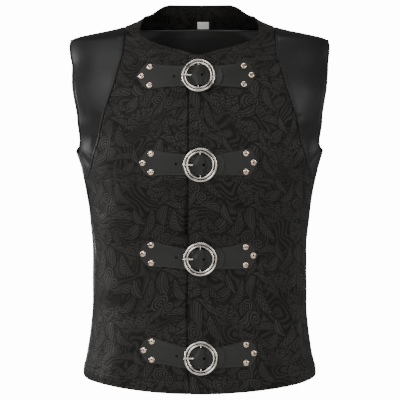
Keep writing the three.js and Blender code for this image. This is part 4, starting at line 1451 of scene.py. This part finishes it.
class VEST_OT_back(bpy.types.Operator):
    """Makes the brocade back, with its raised neck edge"""

    bl_idname = "vest.back"
    bl_label = "Back"

    def execute(self, context):
        cloth = cloth_settings()
        corner = angle_at_x(BACK_NECK_CORNER, BACK_NECK_TOP)
        edges = [
            (level_line(SIDE_HEM, SIDE_SEAM, -math.pi - SIDE_SEAM), HEM),
            (level_line(BACK_NECK_TOP, -corner, -math.pi + corner), TURNED),
        ]
        for sided in (lambda edge: edge, across_back):
            edges += [
                (edge_line(sided(back_outer_edge), BACK_NECK_TOP, 0), TURNED),
                (edge_line(sided(ridge_edge), 0, SEAM_TOP), SEAM),
                (edge_line(sided(back_leather_edge), SEAM_TOP, LEATHER_TIP), UNDER_SEAM),
                (edge_line(sided(back_leather_edge), LEATHER_TIP, SIDE_HEM), SEAM),
            ]
        back = panel(
            "back", BACK_ROWS, back_outer_edge, across_back(back_outer_edge), 1, level_lift(0),
            cloth.brocade_thickness / MM, edges, 2 * cloth.columns, half="back",
        )
        paint(back, brocade(), reverse())
        ride(back, "brocade", "back")
        return {"FINISHED"}


class VEST_OT_leather(bpy.types.Operator):
    """Makes the four leather pieces of the shoulder yokes and armholes"""

    bl_idname = "vest.leather"
    bl_label = "Leather yokes"

    def execute(self, context):
        thick = cloth_settings().leather_thickness / MM
        for half, armhole, seam in YOKES:
            for word, side in SIDES:
                edges = [
                    (edge_line(armhole, SHOULDER_TIP, ARMHOLE_BOTTOM), LEATHER_EDGE),
                    (edge_line(armhole, ARMHOLE_BOTTOM, LEATHER_TIP), SEAM),
                    (edge_line(seam, SEAM_TOP, LEATHER_TIP), LEATHER_SEAM_EDGE),
                    (edge_line(ridge_edge, SEAM_TOP, SHOULDER_TIP), SHOULDER_SEAM),
                ]
                name = "leather_" + half + "_" + word
                piece = panel(
                    name, LEATHER_ROWS, armhole, seam, side, level_lift(0), thick, edges, 34, half=half,
                )
                paint(piece, yoke_leather())
                ride(piece, "leather", name)
        return {"FINISHED"}


class VEST_OT_facing(bpy.types.Operator):
    """Makes the brocade facing inside the back neck"""

    bl_idname = "vest.facing"
    bl_label = "Neck facing"

    def execute(self, context):
        cloth = cloth_settings()

        def facing_edge(z):
            return np.where(z > 0, -angle_at_x(back_neck_x(z) - FACING_INSET, z), -2.5 * DEGREE)

        edges = [(level_line(FACING_EDGE, 0, -math.pi), TURNED)]
        facing = panel(
            "back_neck_facing", FACING_ROWS, facing_edge, across_back(facing_edge), 1,
            level_lift(FACING_LIFT), FACING_THICK, edges, 110, half="back",
        )
        # The facing's brocade is a copy painted at half brightness with less sheen: painted shade, for the
        # shade inside the back neck
        ground, figure_sheen = shade(cloth.ground, 0.5), shade(cloth.figure_sheen, 0.5)
        paint(facing, material("neck_brocade", brocade_finish, ground, figure_sheen, 0.01))
        ride(facing, "brocade", "back_neck_facing")
        return {"FINISHED"}


class VEST_OT_lining(bpy.types.Operator):
    """Makes the satin lining that shows inside the back"""

    bl_idname = "vest.lining"
    bl_label = "Back lining"

    def execute(self, context):
        cloth = cloth_settings()

        def lining_edge(z):
            return back_armhole_edge(z) - LINING_EDGE

        edges = [(level_line(LINING_HEM, 0, -math.pi), RAW)]
        lining = panel(
            "back_lining", LINING_ROWS, lining_edge, across_back(lining_edge), 1, lining_lift,
            cloth.lining_thickness / MM, edges, 96, half="back", draped=False,
        )
        color = tuple(cloth.lining)
        paint(lining, material("lining_satin", lining_finish, color, shade(color, 1.7)))
        ride(lining, "lining", "back_lining")
        return {"FINISHED"}


class VEST_OT_label(bpy.types.Operator):
    """Makes the blank folded label that hangs at the neck facing"""

    bl_idname = "vest.label"
    bl_label = "Label"

    def execute(self, context):
        color = tuple(cloth_settings().label)
        tall, fold, thick = LABEL_TOP - LABEL_BOTTOM - 0.5, 0.27, 0.3
        down = [(LABEL_TOP - share * tall, 0.0) for share in np.linspace(0, 1, 13)]
        bend = [(LABEL_TOP - tall - fold * math.sin(turn), fold * (1 - math.cos(turn)))
                for turn in np.linspace(0, math.pi, 9)[1:-1]]
        up = [(height, 2 * fold) for height, _ in reversed(down)]
        path = np.array(down + bend + up)
        run = arc_lengths(path, 0)[:, None]
        x = np.linspace(LABEL_FROM_X, LABEL_TO_X, 23)[None]
        slope = unit(np.gradient(path, axis=0))
        curl = 0.5 * np.sin(math.pi * (x - LABEL_FROM_X) / (LABEL_TO_X - LABEL_FROM_X))

        def layer(off):
            """The label's points at a distance from its middle layer."""
            height = path[:, :1] - slope[:, 1:] * off
            depth = path[:, 1:] + slope[:, :1] * off
            low = np.clip((LABEL_TOP - height) / tall, 0, 1) ** 2
            lift = FACING_LIFT - FACING_THICK - 1.15 - depth - curl * low
            height = height + 0 * x
            return cloth_point(-angle_at_x(x, height), height, lift, False)

        uv = np.stack([x + 0 * run, -run + 0 * x], axis=-1) * MM
        label = closed_sheet("label_worn", layer(-thick / 2), layer(thick / 2), uv)
        paint(label, material("label_tape", label_finish, color, shade(color, 0.86)))
        ride(label, "label", "label")
        return {"FINISHED"}


# Straps and hardware


def front_face(x):
    """The outer face of whichever front is on top."""
    return np.where(x < UPPER_FRONT_FROM, 0, overlap_lift(x))


# Distances of the crowded columns from a strap's edge, the column and groove of its stitches, and the
# rounding of its edge
STRAP_NEAR = np.array([0, 0.1, 0.28, 0.55, 0.95, 1.5, 2.1, 2.6, 3.1, 4.0])
STITCH_COLUMN = 7
STITCH_GROOVE_DEPTH = 0.22
STITCH_GROOVE_WIDTH = 0.55
STRAP_ROUND = 0.6
STRAP_ROUNDING_SHARE = 0.44


def strap_shares(half):
    """How far a strap's points lie from its middle line, as shares of each row's half width."""
    crowd = np.minimum(1, half / (1.6 * STRAP_NEAR[-1]))[:, None]
    near = 1 - STRAP_NEAR[None] * crowd / np.maximum(half, 0.01)[:, None]
    inner = near[:, -1:] * np.linspace(-1, 1, 9)[None, 1:-1]
    return np.concatenate([-near, inner, near[:, ::-1]], axis=1)


def strap_grid(strap_set, path, thick):
    """The outer and inner points of a strap, and its unrolled places.

    path has rows of distance from the buckle, half width, and height over the cloth at the edges and middle.
    """
    far, half, edge, middle = (path[:, i][:, None] for i in range(4))
    aside = strap_shares(path[:, 1])
    crown = (1 - aside * aside) ** 2
    height = edge + (middle - edge) * crown
    slope_x, slope_h = np.gradient(np.broadcast_to(far, height.shape), axis=0), np.gradient(height, axis=0)
    size = np.maximum(np.hypot(slope_x, slope_h), 1e-9)
    slope_x, slope_h = slope_x / size, slope_h / size
    stride = np.hypot(np.gradient(path[:, 0]), np.gradient(path[:, 2]))
    taper = np.gradient(path[:, 1]) / np.maximum(stride, 1e-9)
    inside = (1 - np.abs(aside)) * half / np.sqrt(1 + taper[:, None] ** 2)
    near = np.clip(STRAP_ROUND - inside, 0, STRAP_ROUND)
    rounding = np.minimum(STRAP_ROUND - np.sqrt(STRAP_ROUND**2 - near**2), STRAP_ROUNDING_SHARE * thick)
    off_stitches = (inside - STRAP_NEAR[STITCH_COLUMN]) / STITCH_GROOVE_WIDTH
    groove = STITCH_GROOVE_DEPTH * np.exp(-(off_stitches**2))
    centre = strap_centre(strap_set)(far)
    base_x = strap_set[1]

    def layer(off):
        """The strap's points at a distance from its middle layer."""
        x = base_x + far - slope_h * off
        lift = height + slope_x * off
        lean = front_normal(x, centre)[..., 2]
        z = centre + aside * half * np.sqrt(1 - lean * lean)
        angle, level = front_place(x, z)
        return cloth_point(angle, level, lift, draped=False)

    way = np.sign(far[-1] - far[0])
    outer = layer(way * (thick / 2 - rounding - groove))
    inner = layer(-way * (thick / 2 - rounding))
    run = arc_lengths(outer, 0)[:, outer.shape[1] // 2][:, None]
    uv = np.stack([run + 0 * aside, aside * half], axis=-1) * MM
    return outer, inner, uv


def billet_path():
    """The billet runs from its riveted end to its cut end beyond the buckle."""
    far = np.concatenate([np.linspace(-107, -104, 6), np.arange(-103, 40, 0.9), np.linspace(40.2, 41.5, 8)])
    return np.stack([far, billet_half(far), billet_edge(far), billet_middle(far)], axis=-1)


def buckle_strap_path(strap_set, thick):
    """The buckle strap lies on the front, climbs to the bar, wraps round it and ends under it."""
    flat = np.concatenate([np.linspace(99, 97, 5), np.arange(96, 12, -1.2)])
    places = [(x, float(front_face(strap_set[1] + x)) + STRAP_SEAT + thick / 2) for x in flat]
    places += BUCKLE_STRAP_CLIMB
    for i in range(WRAP_STEPS):
        turned = (WRAP_FROM + i * WRAP_STEP) * DEGREE
        places.append((LOOP_RADIUS * math.cos(turned), BAR_HEIGHT + LOOP_RADIUS * math.sin(turned)))
    places = np.array(places)
    run = arc_lengths(places, 0)
    spread = np.concatenate([run[:len(flat)], np.arange(run[len(flat)], run[-1], 0.6), run[-1:]])
    x = column_curve(np.stack([run, places[:, 0]], axis=-1), 1)(spread)
    lift = column_curve(np.stack([run, places[:, 1]], axis=-1), 1)(spread)
    return np.stack([x, buckle_strap_half(x), lift, lift], axis=-1)


def in_metres(matrix):
    """A place whose distances were in millimetres."""
    return Matrix.Translation(matrix.translation * MM) @ matrix.to_3x3().to_4x4()


def cut(obj, cutter, operation="DIFFERENCE"):
    """Cuts one piece with another, or joins it on, and takes the other away."""
    select_only(obj)
    modifier = obj.modifiers.new("cut", "BOOLEAN")
    modifier.operation = operation
    modifier.solver = "EXACT"
    modifier.object = cutter
    bpy.ops.object.modifier_apply(modifier="cut")
    bpy.data.objects.remove(cutter)


def turned(name, profile, steps):
    """A piece turned about Z. Its profile, of radius and height, is extruded point by point."""
    bpy.ops.object.select_all(action="DESELECT")
    bpy.ops.mesh.primitive_plane_add(size=0.001, location=(0, 0, 0))
    obj = bpy.context.object
    obj.name = name
    bpy.ops.object.mode_set(mode="EDIT")
    bpy.ops.mesh.select_all(action="SELECT")
    bpy.ops.mesh.merge(type="CENTER")
    bpy.ops.transform.translate(value=(profile[0][0] * MM, 0, profile[0][1] * MM))
    for (radius, height), (next_radius, next_height) in zip(profile, profile[1:]):
        step = ((next_radius - radius) * MM, 0, (next_height - height) * MM)
        bpy.ops.mesh.extrude_region_move(TRANSFORM_OT_translate={"value": step})
    bpy.ops.mesh.select_all(action="SELECT")
    bpy.ops.mesh.spin(steps=steps, angle=2 * math.pi, center=(0, 0, 0), axis=(0, 0, 1))
    bpy.ops.mesh.select_all(action="SELECT")
    bpy.ops.mesh.remove_doubles(threshold=0.000002)
    bpy.ops.mesh.normals_make_consistent(inside=False)
    bpy.ops.object.mode_set(mode="OBJECT")
    return obj


def prong_shaft(name, radius):
    """The prong's shaft: a round end extruded along the prong's path, tapered and rounded at its tip."""
    stops = [(x, height, 1 - 0.012 * i) for i, (x, height) in enumerate(smooth_prong_path())]
    tip_x, tip_height, tip_size = stops[-1]
    for ahead, size in ((0.5, 0.93), (0.9, 0.76), (1.15, 0.5)):
        stops.append((tip_x - ahead * radius / PRONG_RADIUS, tip_height - 0.02, tip_size * size))
    bpy.ops.object.select_all(action="DESELECT")
    bpy.ops.mesh.primitive_circle_add(
        vertices=18, radius=radius * MM, fill_type="NGON", rotation=(0, math.pi / 2, 0),
        location=(stops[0][0] * MM, 0, stops[0][1] * MM),
    )
    shaft = bpy.context.object
    shaft.name = name
    bpy.ops.object.transform_apply(location=True, rotation=True, scale=True)
    bpy.ops.object.mode_set(mode="EDIT")
    bpy.ops.mesh.select_all(action="SELECT")
    for here, there in zip(stops, stops[1:]):
        step = ((there[0] - here[0]) * MM, 0, (there[1] - here[1]) * MM)
        bpy.ops.mesh.extrude_region_move(TRANSFORM_OT_translate={"value": step})
        share = there[2] / here[2]
        bpy.ops.transform.resize(value=(1, share, share))
    bpy.ops.mesh.select_all(action="SELECT")
    bpy.ops.mesh.normals_make_consistent(inside=False)
    bpy.ops.object.mode_set(mode="OBJECT")
    return shaft


def smooth_prong_path():
    """Points of the prong's path, up to a little past its end."""
    curve = column_curve(PRONG_PATH, 1)
    return [(x, float(curve(x))) for x in np.linspace(PRONG_PATH[0][0], PRONG_PATH[-1][0] + 1.15, 15)]


def arc(middle_x, middle_y, radius_x, radius_y, start, end, count):
    """Points of a piece of an ellipse, from one angle in degrees to another."""
    return [
        (middle_x + radius_x * math.cos(turn * DEGREE), middle_y + radius_y * math.sin(turn * DEGREE))
        for turn in np.linspace(start, end, count)
    ]


GROOVE_FROM, GROOVE_TO, GROOVE_FLOOR = 23.7, 25.1, 0.8

# Faces whose middles lie at these distances from the axis and these heights get dark metal, painted shade in
# the groove
PAINTED_SHADE_ACROSS = (GROOVE_FROM - 0.25, GROOVE_TO + 0.2)
PAINTED_SHADE_HEIGHT = (0.5, 1.75)
# Rivet faces nearer the axis than this share of the cap's radius, on its upper half, get dark metal as a
# painted dark reflection in the dimple
DIMPLE_SHARE = 0.28


def ring_profile(outer):
    """The buckle's section: a round outer band and a lower step inside it, with a deep groove between."""
    band, step = (FRAME_OUTER - GROOVE_TO) / 2, (GROOVE_FROM - FRAME_INNER) / 2
    section = [(FRAME_INNER + 0.5, 0), (FRAME_OUTER - 0.6, 0), (FRAME_OUTER - 0.1, 0.4)]
    section += arc(FRAME_OUTER - band, 1.2, band, FRAME_THICK - 1.2, 0, 180, 13)
    section += [(GROOVE_TO, GROOVE_FLOOR), (GROOVE_FROM, GROOVE_FLOOR)]
    section += arc(FRAME_INNER + step, 1.1, step, FRAME_STEP_THICK - 1.0, 0, 180, 9)
    section += [(FRAME_INNER, 0.5), (FRAME_INNER + 0.5, 0)]
    return [(radius * outer / FRAME_OUTER, height) for radius, height in section]


def in_groove(centre, scale):
    """Whether a face of the turned ring lies at the bottom of its groove or low on its sides."""
    radius = math.hypot(centre.x, centre.y) / MM / scale
    low, high = PAINTED_SHADE_HEIGHT
    return PAINTED_SHADE_ACROSS[0] < radius < PAINTED_SHADE_ACROSS[1] and low < centre.z / MM < high


def rivet_profile(radius):
    """A flat-domed cap with a shallow dimple in its middle."""
    section = [(0, RIVET_HEIGHT - 0.75), (0.5, RIVET_HEIGHT - 0.7), (1.05, RIVET_HEIGHT - 0.4),
               (1.5, RIVET_HEIGHT - 0.1), (2.0, RIVET_HEIGHT)]
    section += arc(2.0, 0.75, RIVET_RADIUS - 2.0, RIVET_HEIGHT - 0.75, 80, 0, 9)
    section += [(RIVET_RADIUS, 0.25), (RIVET_RADIUS - 0.35, 0), (0, 0)]
    return [(far * radius / RIVET_RADIUS, height) for far, height in section]


def copied(master, name, matrix):
    """A copy of a piece with a mesh of its own, placed in the mesh."""
    made = master.copy()
    made.data = master.data.copy()
    made.name = made.data.name = name
    made.data.transform(in_metres(matrix))
    bpy.context.scene.collection.objects.link(made)
    return made


def hard_finish(obj, finish, degrees=35):
    """Gives a hard piece its material and smooths it up to an angle."""
    select_only(obj)
    bpy.ops.object.shade_smooth_by_angle(angle=degrees * DEGREE)
    obj.data.materials.append(finish)


# Rows of points on the straps that the stitching follows, by strap
STITCH_LINES = {}


def stitch_rows(outer, first, last):
    """The two stitch lines of a strap, between two rows of its grid."""
    return [outer[first:last, STITCH_COLUMN], outer[first:last, -1 - STITCH_COLUMN]]


class VEST_OT_straps(bpy.types.Operator):
    """Makes the four pointed billet straps and the four buckle straps, with their punched holes"""

    bl_idname = "vest.straps"
    bl_label = "Straps"

    def execute(self, context):
        thick = hardware_settings().strap_thickness / MM
        for strap_set in STRAP_SETS:
            number, x, z = strap_set[:3]
            seat = hardware_matrix(x, z)
            centre = strap_centre(strap_set)
            outer, inner, uv = strap_grid(strap_set, billet_path(), thick)
            billet = closed_sheet("billet_strap_" + number + "_worn", outer, inner, uv)
            STITCH_LINES["billet_" + number] = stitch_rows(outer, 8, -10)
            for far in BILLET_HOLES:
                bpy.ops.mesh.primitive_cylinder_add(vertices=28, radius=HOLE_RADIUS * MM, depth=0.02)
                punch = context.object
                punch.data.transform(in_metres(seat @ Matrix.Translation((far, float(centre(far)) - z, 6))))
                cut(billet, punch)
            channel = prong_shaft("prong_channel", PRONG_RADIUS + PRONG_CLEARANCE)
            channel.data.transform(in_metres(seat))
            cut(billet, channel)

            thin = thick - BUCKLE_STRAP_THINNER
            outer, inner, uv = strap_grid(strap_set, buckle_strap_path(strap_set, thin), thin)
            buckled = closed_sheet("buckle_strap_" + number + "_worn", outer, inner, uv)
            STITCH_LINES["buckle_" + number] = stitch_rows(outer, 7, 68)
            bpy.ops.mesh.primitive_cube_add(size=1)
            slot = context.object
            along, across, through = PRONG_SLOT
            slot.data.transform(Matrix.Diagonal((along * MM, across * MM, through * MM, 1)))
            slot.data.transform(in_metres(seat @ Matrix.Translation((0, 0, BAR_HEIGHT))))
            cut(buckled, slot)

            for strap, stem, flat, area in (
                (billet, "billet", (0.046, 0.152), 0.0056), (buckled, "buckle", (0.046, 0.115), 0.0039),
            ):
                clean(strap)
                paint(strap, strap_leather())
                ride(strap, "strap", stem + "_strap_" + number)
        return {"FINISHED"}


class VEST_OT_buckles(bpy.types.Operator):
    """Makes the four round buckles, each with its bar and its prong"""

    bl_idname = "vest.buckles"
    bl_label = "Buckles"

    def execute(self, context):
        hardware = hardware_settings()
        ring = turned("ring_master", ring_profile(hardware.ring_diameter / 2 / MM), hardware.ring_steps)
        scale = hardware.ring_diameter / (2 * FRAME_OUTER * MM)
        # The groove's faces take the second slot: dark metal painted there as shade
        for face in ring.data.polygons:
            face.material_index = int(in_groove(face.center, scale))
        lean = Matrix.Rotation(-math.atan(FRAME_TILT), 4, "Y")
        ring.data.transform(Matrix.Translation((0, 0, FRAME_UNDERSIDE * MM)) @ lean)
        bpy.ops.mesh.primitive_cylinder_add(
            vertices=24, radius=BAR_RADIUS * MM, depth=2 * (FRAME_INNER + BAR_ROOT) * MM,
            location=(0, 0, BAR_HEIGHT * MM), rotation=(math.pi / 2, 0, 0),
        )
        bar = context.object
        bpy.ops.object.transform_apply(location=True, rotation=True, scale=True)
        cut(ring, bar, "UNION")

        middle, grip = (PRONG_EYE_RADIUS + PRONG_EYE_BORE) / 2, (PRONG_EYE_RADIUS - PRONG_EYE_BORE) / 2
        section = arc(middle, PRONG_EYE_HALF - 0.55, grip, 0.55, 0, 180, 7)
        section += arc(middle, 0.55 - PRONG_EYE_HALF, grip, 0.55, 180, 360, 7)
        eye = turned("prong_master", section + section[:1], 40)
        eye.data.transform(Matrix.Translation((0, 0, BAR_HEIGHT * MM)) @ Matrix.Rotation(math.pi / 2, 4, "X"))
        cut(eye, prong_shaft("prong_shaft", PRONG_RADIUS), "UNION")

        for master in (ring, eye):
            clean(master, 0.000003)
            hard_finish(master, nickel())
        # Second slot: dark metal, painted shade in the groove
        ring.data.materials.append(tarnish())
        for strap_set in STRAP_SETS:
            number, x, z = strap_set[:3]
            seat = hardware_matrix(x, z)
            ride(copied(ring, "buckle_ring_" + number, seat), "metal", "buckle_frame_" + number)
            ride(copied(eye, "buckle_prong_" + number, seat), "metal", "prong_" + number)
        for master in (ring, eye):
            bpy.data.objects.remove(master)
        return {"FINISHED"}


class VEST_OT_rivets(bpy.types.Operator):
    """Makes the domed rivets, three at each strap's pointed end"""

    bl_idname = "vest.rivets"
    bl_label = "Rivets"

    def execute(self, context):
        hardware = hardware_settings()
        thick = hardware.strap_thickness / MM
        master = turned("rivet_master", rivet_profile(hardware.rivet_diameter / 2 / MM), 36)
        hard_finish(master, warm_nickel(), 50)
        # The dimple's faces take dark metal, a painted dark reflection
        master.data.materials.append(tarnish())
        for face in master.data.polygons:
            across = math.hypot(face.center.x, face.center.y) * 2 / hardware.rivet_diameter
            face.material_index = int(across < DIMPLE_SHARE and face.center.z > RIVET_HEIGHT * MM / 2)
        for strap_set in STRAP_SETS:
            number, buckle_x = strap_set[:2]
            centre = strap_centre(strap_set)
            for stem, places, strap in (
                ("billet", BILLET_RIVETS, thick), ("buckle", BUCKLE_STRAP_RIVETS, thick - BUCKLE_STRAP_THINNER),
            ):
                for word, far, aside in places:
                    x = buckle_x + far
                    seat = hardware_matrix(x, float(centre(far)) + aside)
                    face = 0 if far < 0 else float(front_face(x))
                    seat = seat @ Matrix.Translation((0, 0, face + STRAP_SEAT + strap + RIVET_SEAT))
                    name = stem + "_rivet_" + number + "_" + word
                    ride(copied(master, name + "_cap", seat), "metal", name)
        bpy.data.objects.remove(master)
        return {"FINISHED"}


# Sewing

# Stitches of the garment and of the straps: length, pitch
GARMENT_STITCH = (2.7, 3.6)
STRAP_STITCH = (2.3, 3.0)
STITCH_RADIUS = 0.24
HEM_STITCH_RISE = 17
SURFACE_REACH = 1.6

# Rings of a stitch: share of its half length, share of its radius, rise
STITCH_RINGS = [(-1, 0.0, -0.3), (-0.92, 0.75, -0.08), (-0.5, 1, 0.13), (0, 1, 0.2), (0.5, 1, 0.13),
                (0.92, 0.75, -0.08), (1, 0.0, -0.3)]
STITCH_SIDES = 6


def stitch_mesh(lines, length, pitch):
    """Points and faces of stitches along lines of (points, outward directions)."""
    points, faces = [], []
    for line, out in lines:
        far = arc_lengths(line, 0)
        count = int((far[-1] - length) / pitch)
        if count < 1:
            continue
        at = (far[-1] - (count - 1) * pitch) / 2 + pitch * np.arange(count)
        ends = [np.stack([np.interp(at + off, far, line[:, i]) for i in range(3)], axis=-1)
                for off in (-length / 2, length / 2)]
        up = unit(np.stack([np.interp(at, far, out[:, i]) for i in range(3)], axis=-1))
        middle, reach = (ends[0] + ends[1]) / 2, (ends[1] - ends[0]) / 2
        side = unit(np.cross(reach, up))
        for place, half, lifted, aside in zip(middle, reach, up, side):
            first = len(points)
            for share, size, rise in STITCH_RINGS:
                ring_centre = place + half * share + lifted * rise
                sides = STITCH_SIDES if size else 1
                for i in range(sides):
                    turn = 2 * math.pi * i / STITCH_SIDES
                    spoke = aside * math.cos(turn) + lifted * math.sin(turn)
                    points.append(ring_centre + spoke * size * STITCH_RADIUS)
            faces += [[index + first for index in face] for face in STITCH_FACES]
    return points, faces


def capsule_faces():
    """Faces of one stitch: a fan at each end and quads between the rings."""
    rings = len(STITCH_RINGS) - 2
    last = 1 + rings * STITCH_SIDES
    faces = []
    for i in range(STITCH_SIDES):
        j = (i + 1) % STITCH_SIDES
        faces.append([0, 1 + i, 1 + j])
        faces.append([last, last - STITCH_SIDES + j, last - STITCH_SIDES + i])
        for ring in range(rings - 1):
            a = 1 + ring * STITCH_SIDES
            faces.append([a + i, a + STITCH_SIDES + i, a + STITCH_SIDES + j, a + j])
    return faces


STITCH_FACES = capsule_faces()


def edge_stitches(panel_name, line, side, inwards, toward):
    """A stitch line on a panel, a distance inwards of one of its lines, on the side where toward lies."""
    points = resampled(line(side), 1.5)
    tangent = unit(np.gradient(points, axis=0))
    out = unit(np.array([1, 4, 0]) * points)
    inward = unit(np.cross(out, tangent))
    if np.mean(((np.asarray(toward) - points) * inward).sum(1)) < 0:
        inward = -inward
    placed, normals = [], []
    for wanted in points + inward * inwards:
        place, normal, _, off = PANELS[panel_name].find_nearest(Vector(wanted))
        if place is None or off > SURFACE_REACH:
            continue
        if normal.dot(Vector((wanted[0], 4 * wanted[1], 0))) < 0:
            normal = -normal
        placed.append(place)
        normals.append(normal)
    return np.array(placed), np.array(normals)


class VEST_OT_stitching(bpy.types.Operator):
    """Sews the vest: single stitches along the yokes, armholes, shoulders, neck, hem and straps"""

    bl_idname = "vest.stitching"
    bl_label = "Stitching"

    def execute(self, context):
        lines = {}
        for half, armhole, seam in YOKES:
            depth = -1 if half == "front" else 1
            for word, side in SIDES:
                piece = "leather_" + half + "_" + word
                middle = (side * 185, depth * 90, -140)
                seam_line = edge_line(seam, SEAM_TOP - 3, LEATHER_TIP + 8)
                ridge = edge_line(ridge_edge, SEAM_TOP - 2, SHOULDER_TIP + 2)
                arm_line = edge_line(armhole, SHOULDER_TIP - 3, ARMHOLE_BOTTOM + 0.5)
                lines[piece] = [
                    edge_stitches(piece, arm_line, side, 4.3, middle),
                    edge_stitches(piece, seam_line, side, 2.9, (side * 225, depth * 40, -140)),
                    edge_stitches(piece, ridge, side, 4.6, (side * 180, depth * 60, -60)),
                ]
        hem = SIDE_HEM + HEM_STITCH_RISE
        for word, side in SIDES:
            front = "front_" + word
            hem_line = level_line(hem, SIDE_SEAM + 0.02, math.pi / 2 - (0.04 if side > 0 else 0.14))
            neck_line = edge_line(front_inner_edge, -3, NECK_BOTTOM)
            lines[front] = [
                edge_stitches(front, hem_line, side, 0.0, (0, 0, -600)),
                edge_stitches(front, neck_line, side, 4.6, (side * 150, -60, -80)),
            ]
        edge = edge_line(front_inner_edge, NECK_BOTTOM - 1, SIDE_HEM + 18)
        lines["front_left"].append(edge_stitches("front_left", edge, 1, 4.8, (150, -100, -400)))
        back_hem = level_line(hem, SIDE_SEAM - 0.02, -math.pi - SIDE_SEAM + 0.02)
        lines["back"] = [edge_stitches("back", back_hem, 1, 0.0, (0, 0, -600))]
        for number, rows in STITCH_LINES.items():
            lines["strap_" + number] = [(row, unit(np.array([1, 4, 0]) * row)) for row in rows]
        for name, sewn in lines.items():
            length, pitch = STRAP_STITCH if name.startswith("strap_") else GARMENT_STITCH
            points, faces = stitch_mesh(sewn, length, pitch)
            stitches = mesh_object("stitches_" + name, points, faces)
            stitches.data.materials.append(thread())
            ride(stitches, "brocade" if name in ("front_left", "front_right", "back") else "leather")
        return {"FINISHED"}


class VEST_PT_panel(bpy.types.Panel):
    """The vest's tab in the 3D view's sidebar"""

    bl_idname = "VEST_PT_panel"
    bl_label = "Medieval vest"
    bl_space_type = "VIEW_3D"
    bl_region_type = "UI"
    bl_category = "Vest"

    def draw(self, context):
        scene = context.scene
        for title, group, operators in PANEL_PARTS:
            box = self.layout.box()
            box.label(text=title)
            settings = getattr(scene, group)
            for setting in settings.__annotations__:
                box.prop(settings, setting)
            for operator in operators:
                box.operator(operator.bl_idname)


CLOTH_OPERATORS = (
    VEST_OT_fronts, VEST_OT_back, VEST_OT_leather, VEST_OT_facing, VEST_OT_lining, VEST_OT_label,
)
HARDWARE_OPERATORS = (VEST_OT_straps, VEST_OT_buckles, VEST_OT_rivets, VEST_OT_stitching)
PANEL_PARTS = (
    ("Studio", "vest_stage", (VEST_OT_stage,)),
    ("Cloth and leather", "vest_cloth", CLOTH_OPERATORS),
    ("Straps and buckles", "vest_hardware", HARDWARE_OPERATORS),
)
CLASSES = (
    VestCloth, VestHardware, VestStage, VEST_OT_stage, *CLOTH_OPERATORS, *HARDWARE_OPERATORS, VEST_PT_panel,
)


def register():
    """Registers the classes and the scene's settings."""
    for made in CLASSES:
        bpy.utils.register_class(made)
    bpy.types.Scene.vest_cloth = PointerProperty(type=VestCloth)
    bpy.types.Scene.vest_hardware = PointerProperty(type=VestHardware)
    bpy.types.Scene.vest_stage = PointerProperty(type=VestStage)


def unregister():
    """Takes the settings and the classes off again."""
    del bpy.types.Scene.vest_stage
    del bpy.types.Scene.vest_hardware
    del bpy.types.Scene.vest_cloth
    for made in reversed(CLASSES):
        bpy.utils.unregister_class(made)


def main():
    """Builds the vest and its stage."""
    register()
    bpy.ops.vest.stage()
    bpy.ops.vest.fronts()
    bpy.ops.vest.back()
    bpy.ops.vest.leather()
    bpy.ops.vest.facing()
    bpy.ops.vest.lining()
    bpy.ops.vest.label()
    bpy.ops.vest.straps()
    bpy.ops.vest.buckles()
    bpy.ops.vest.rivets()
    bpy.ops.vest.stitching()


if __name__ == "__main__":
    main()
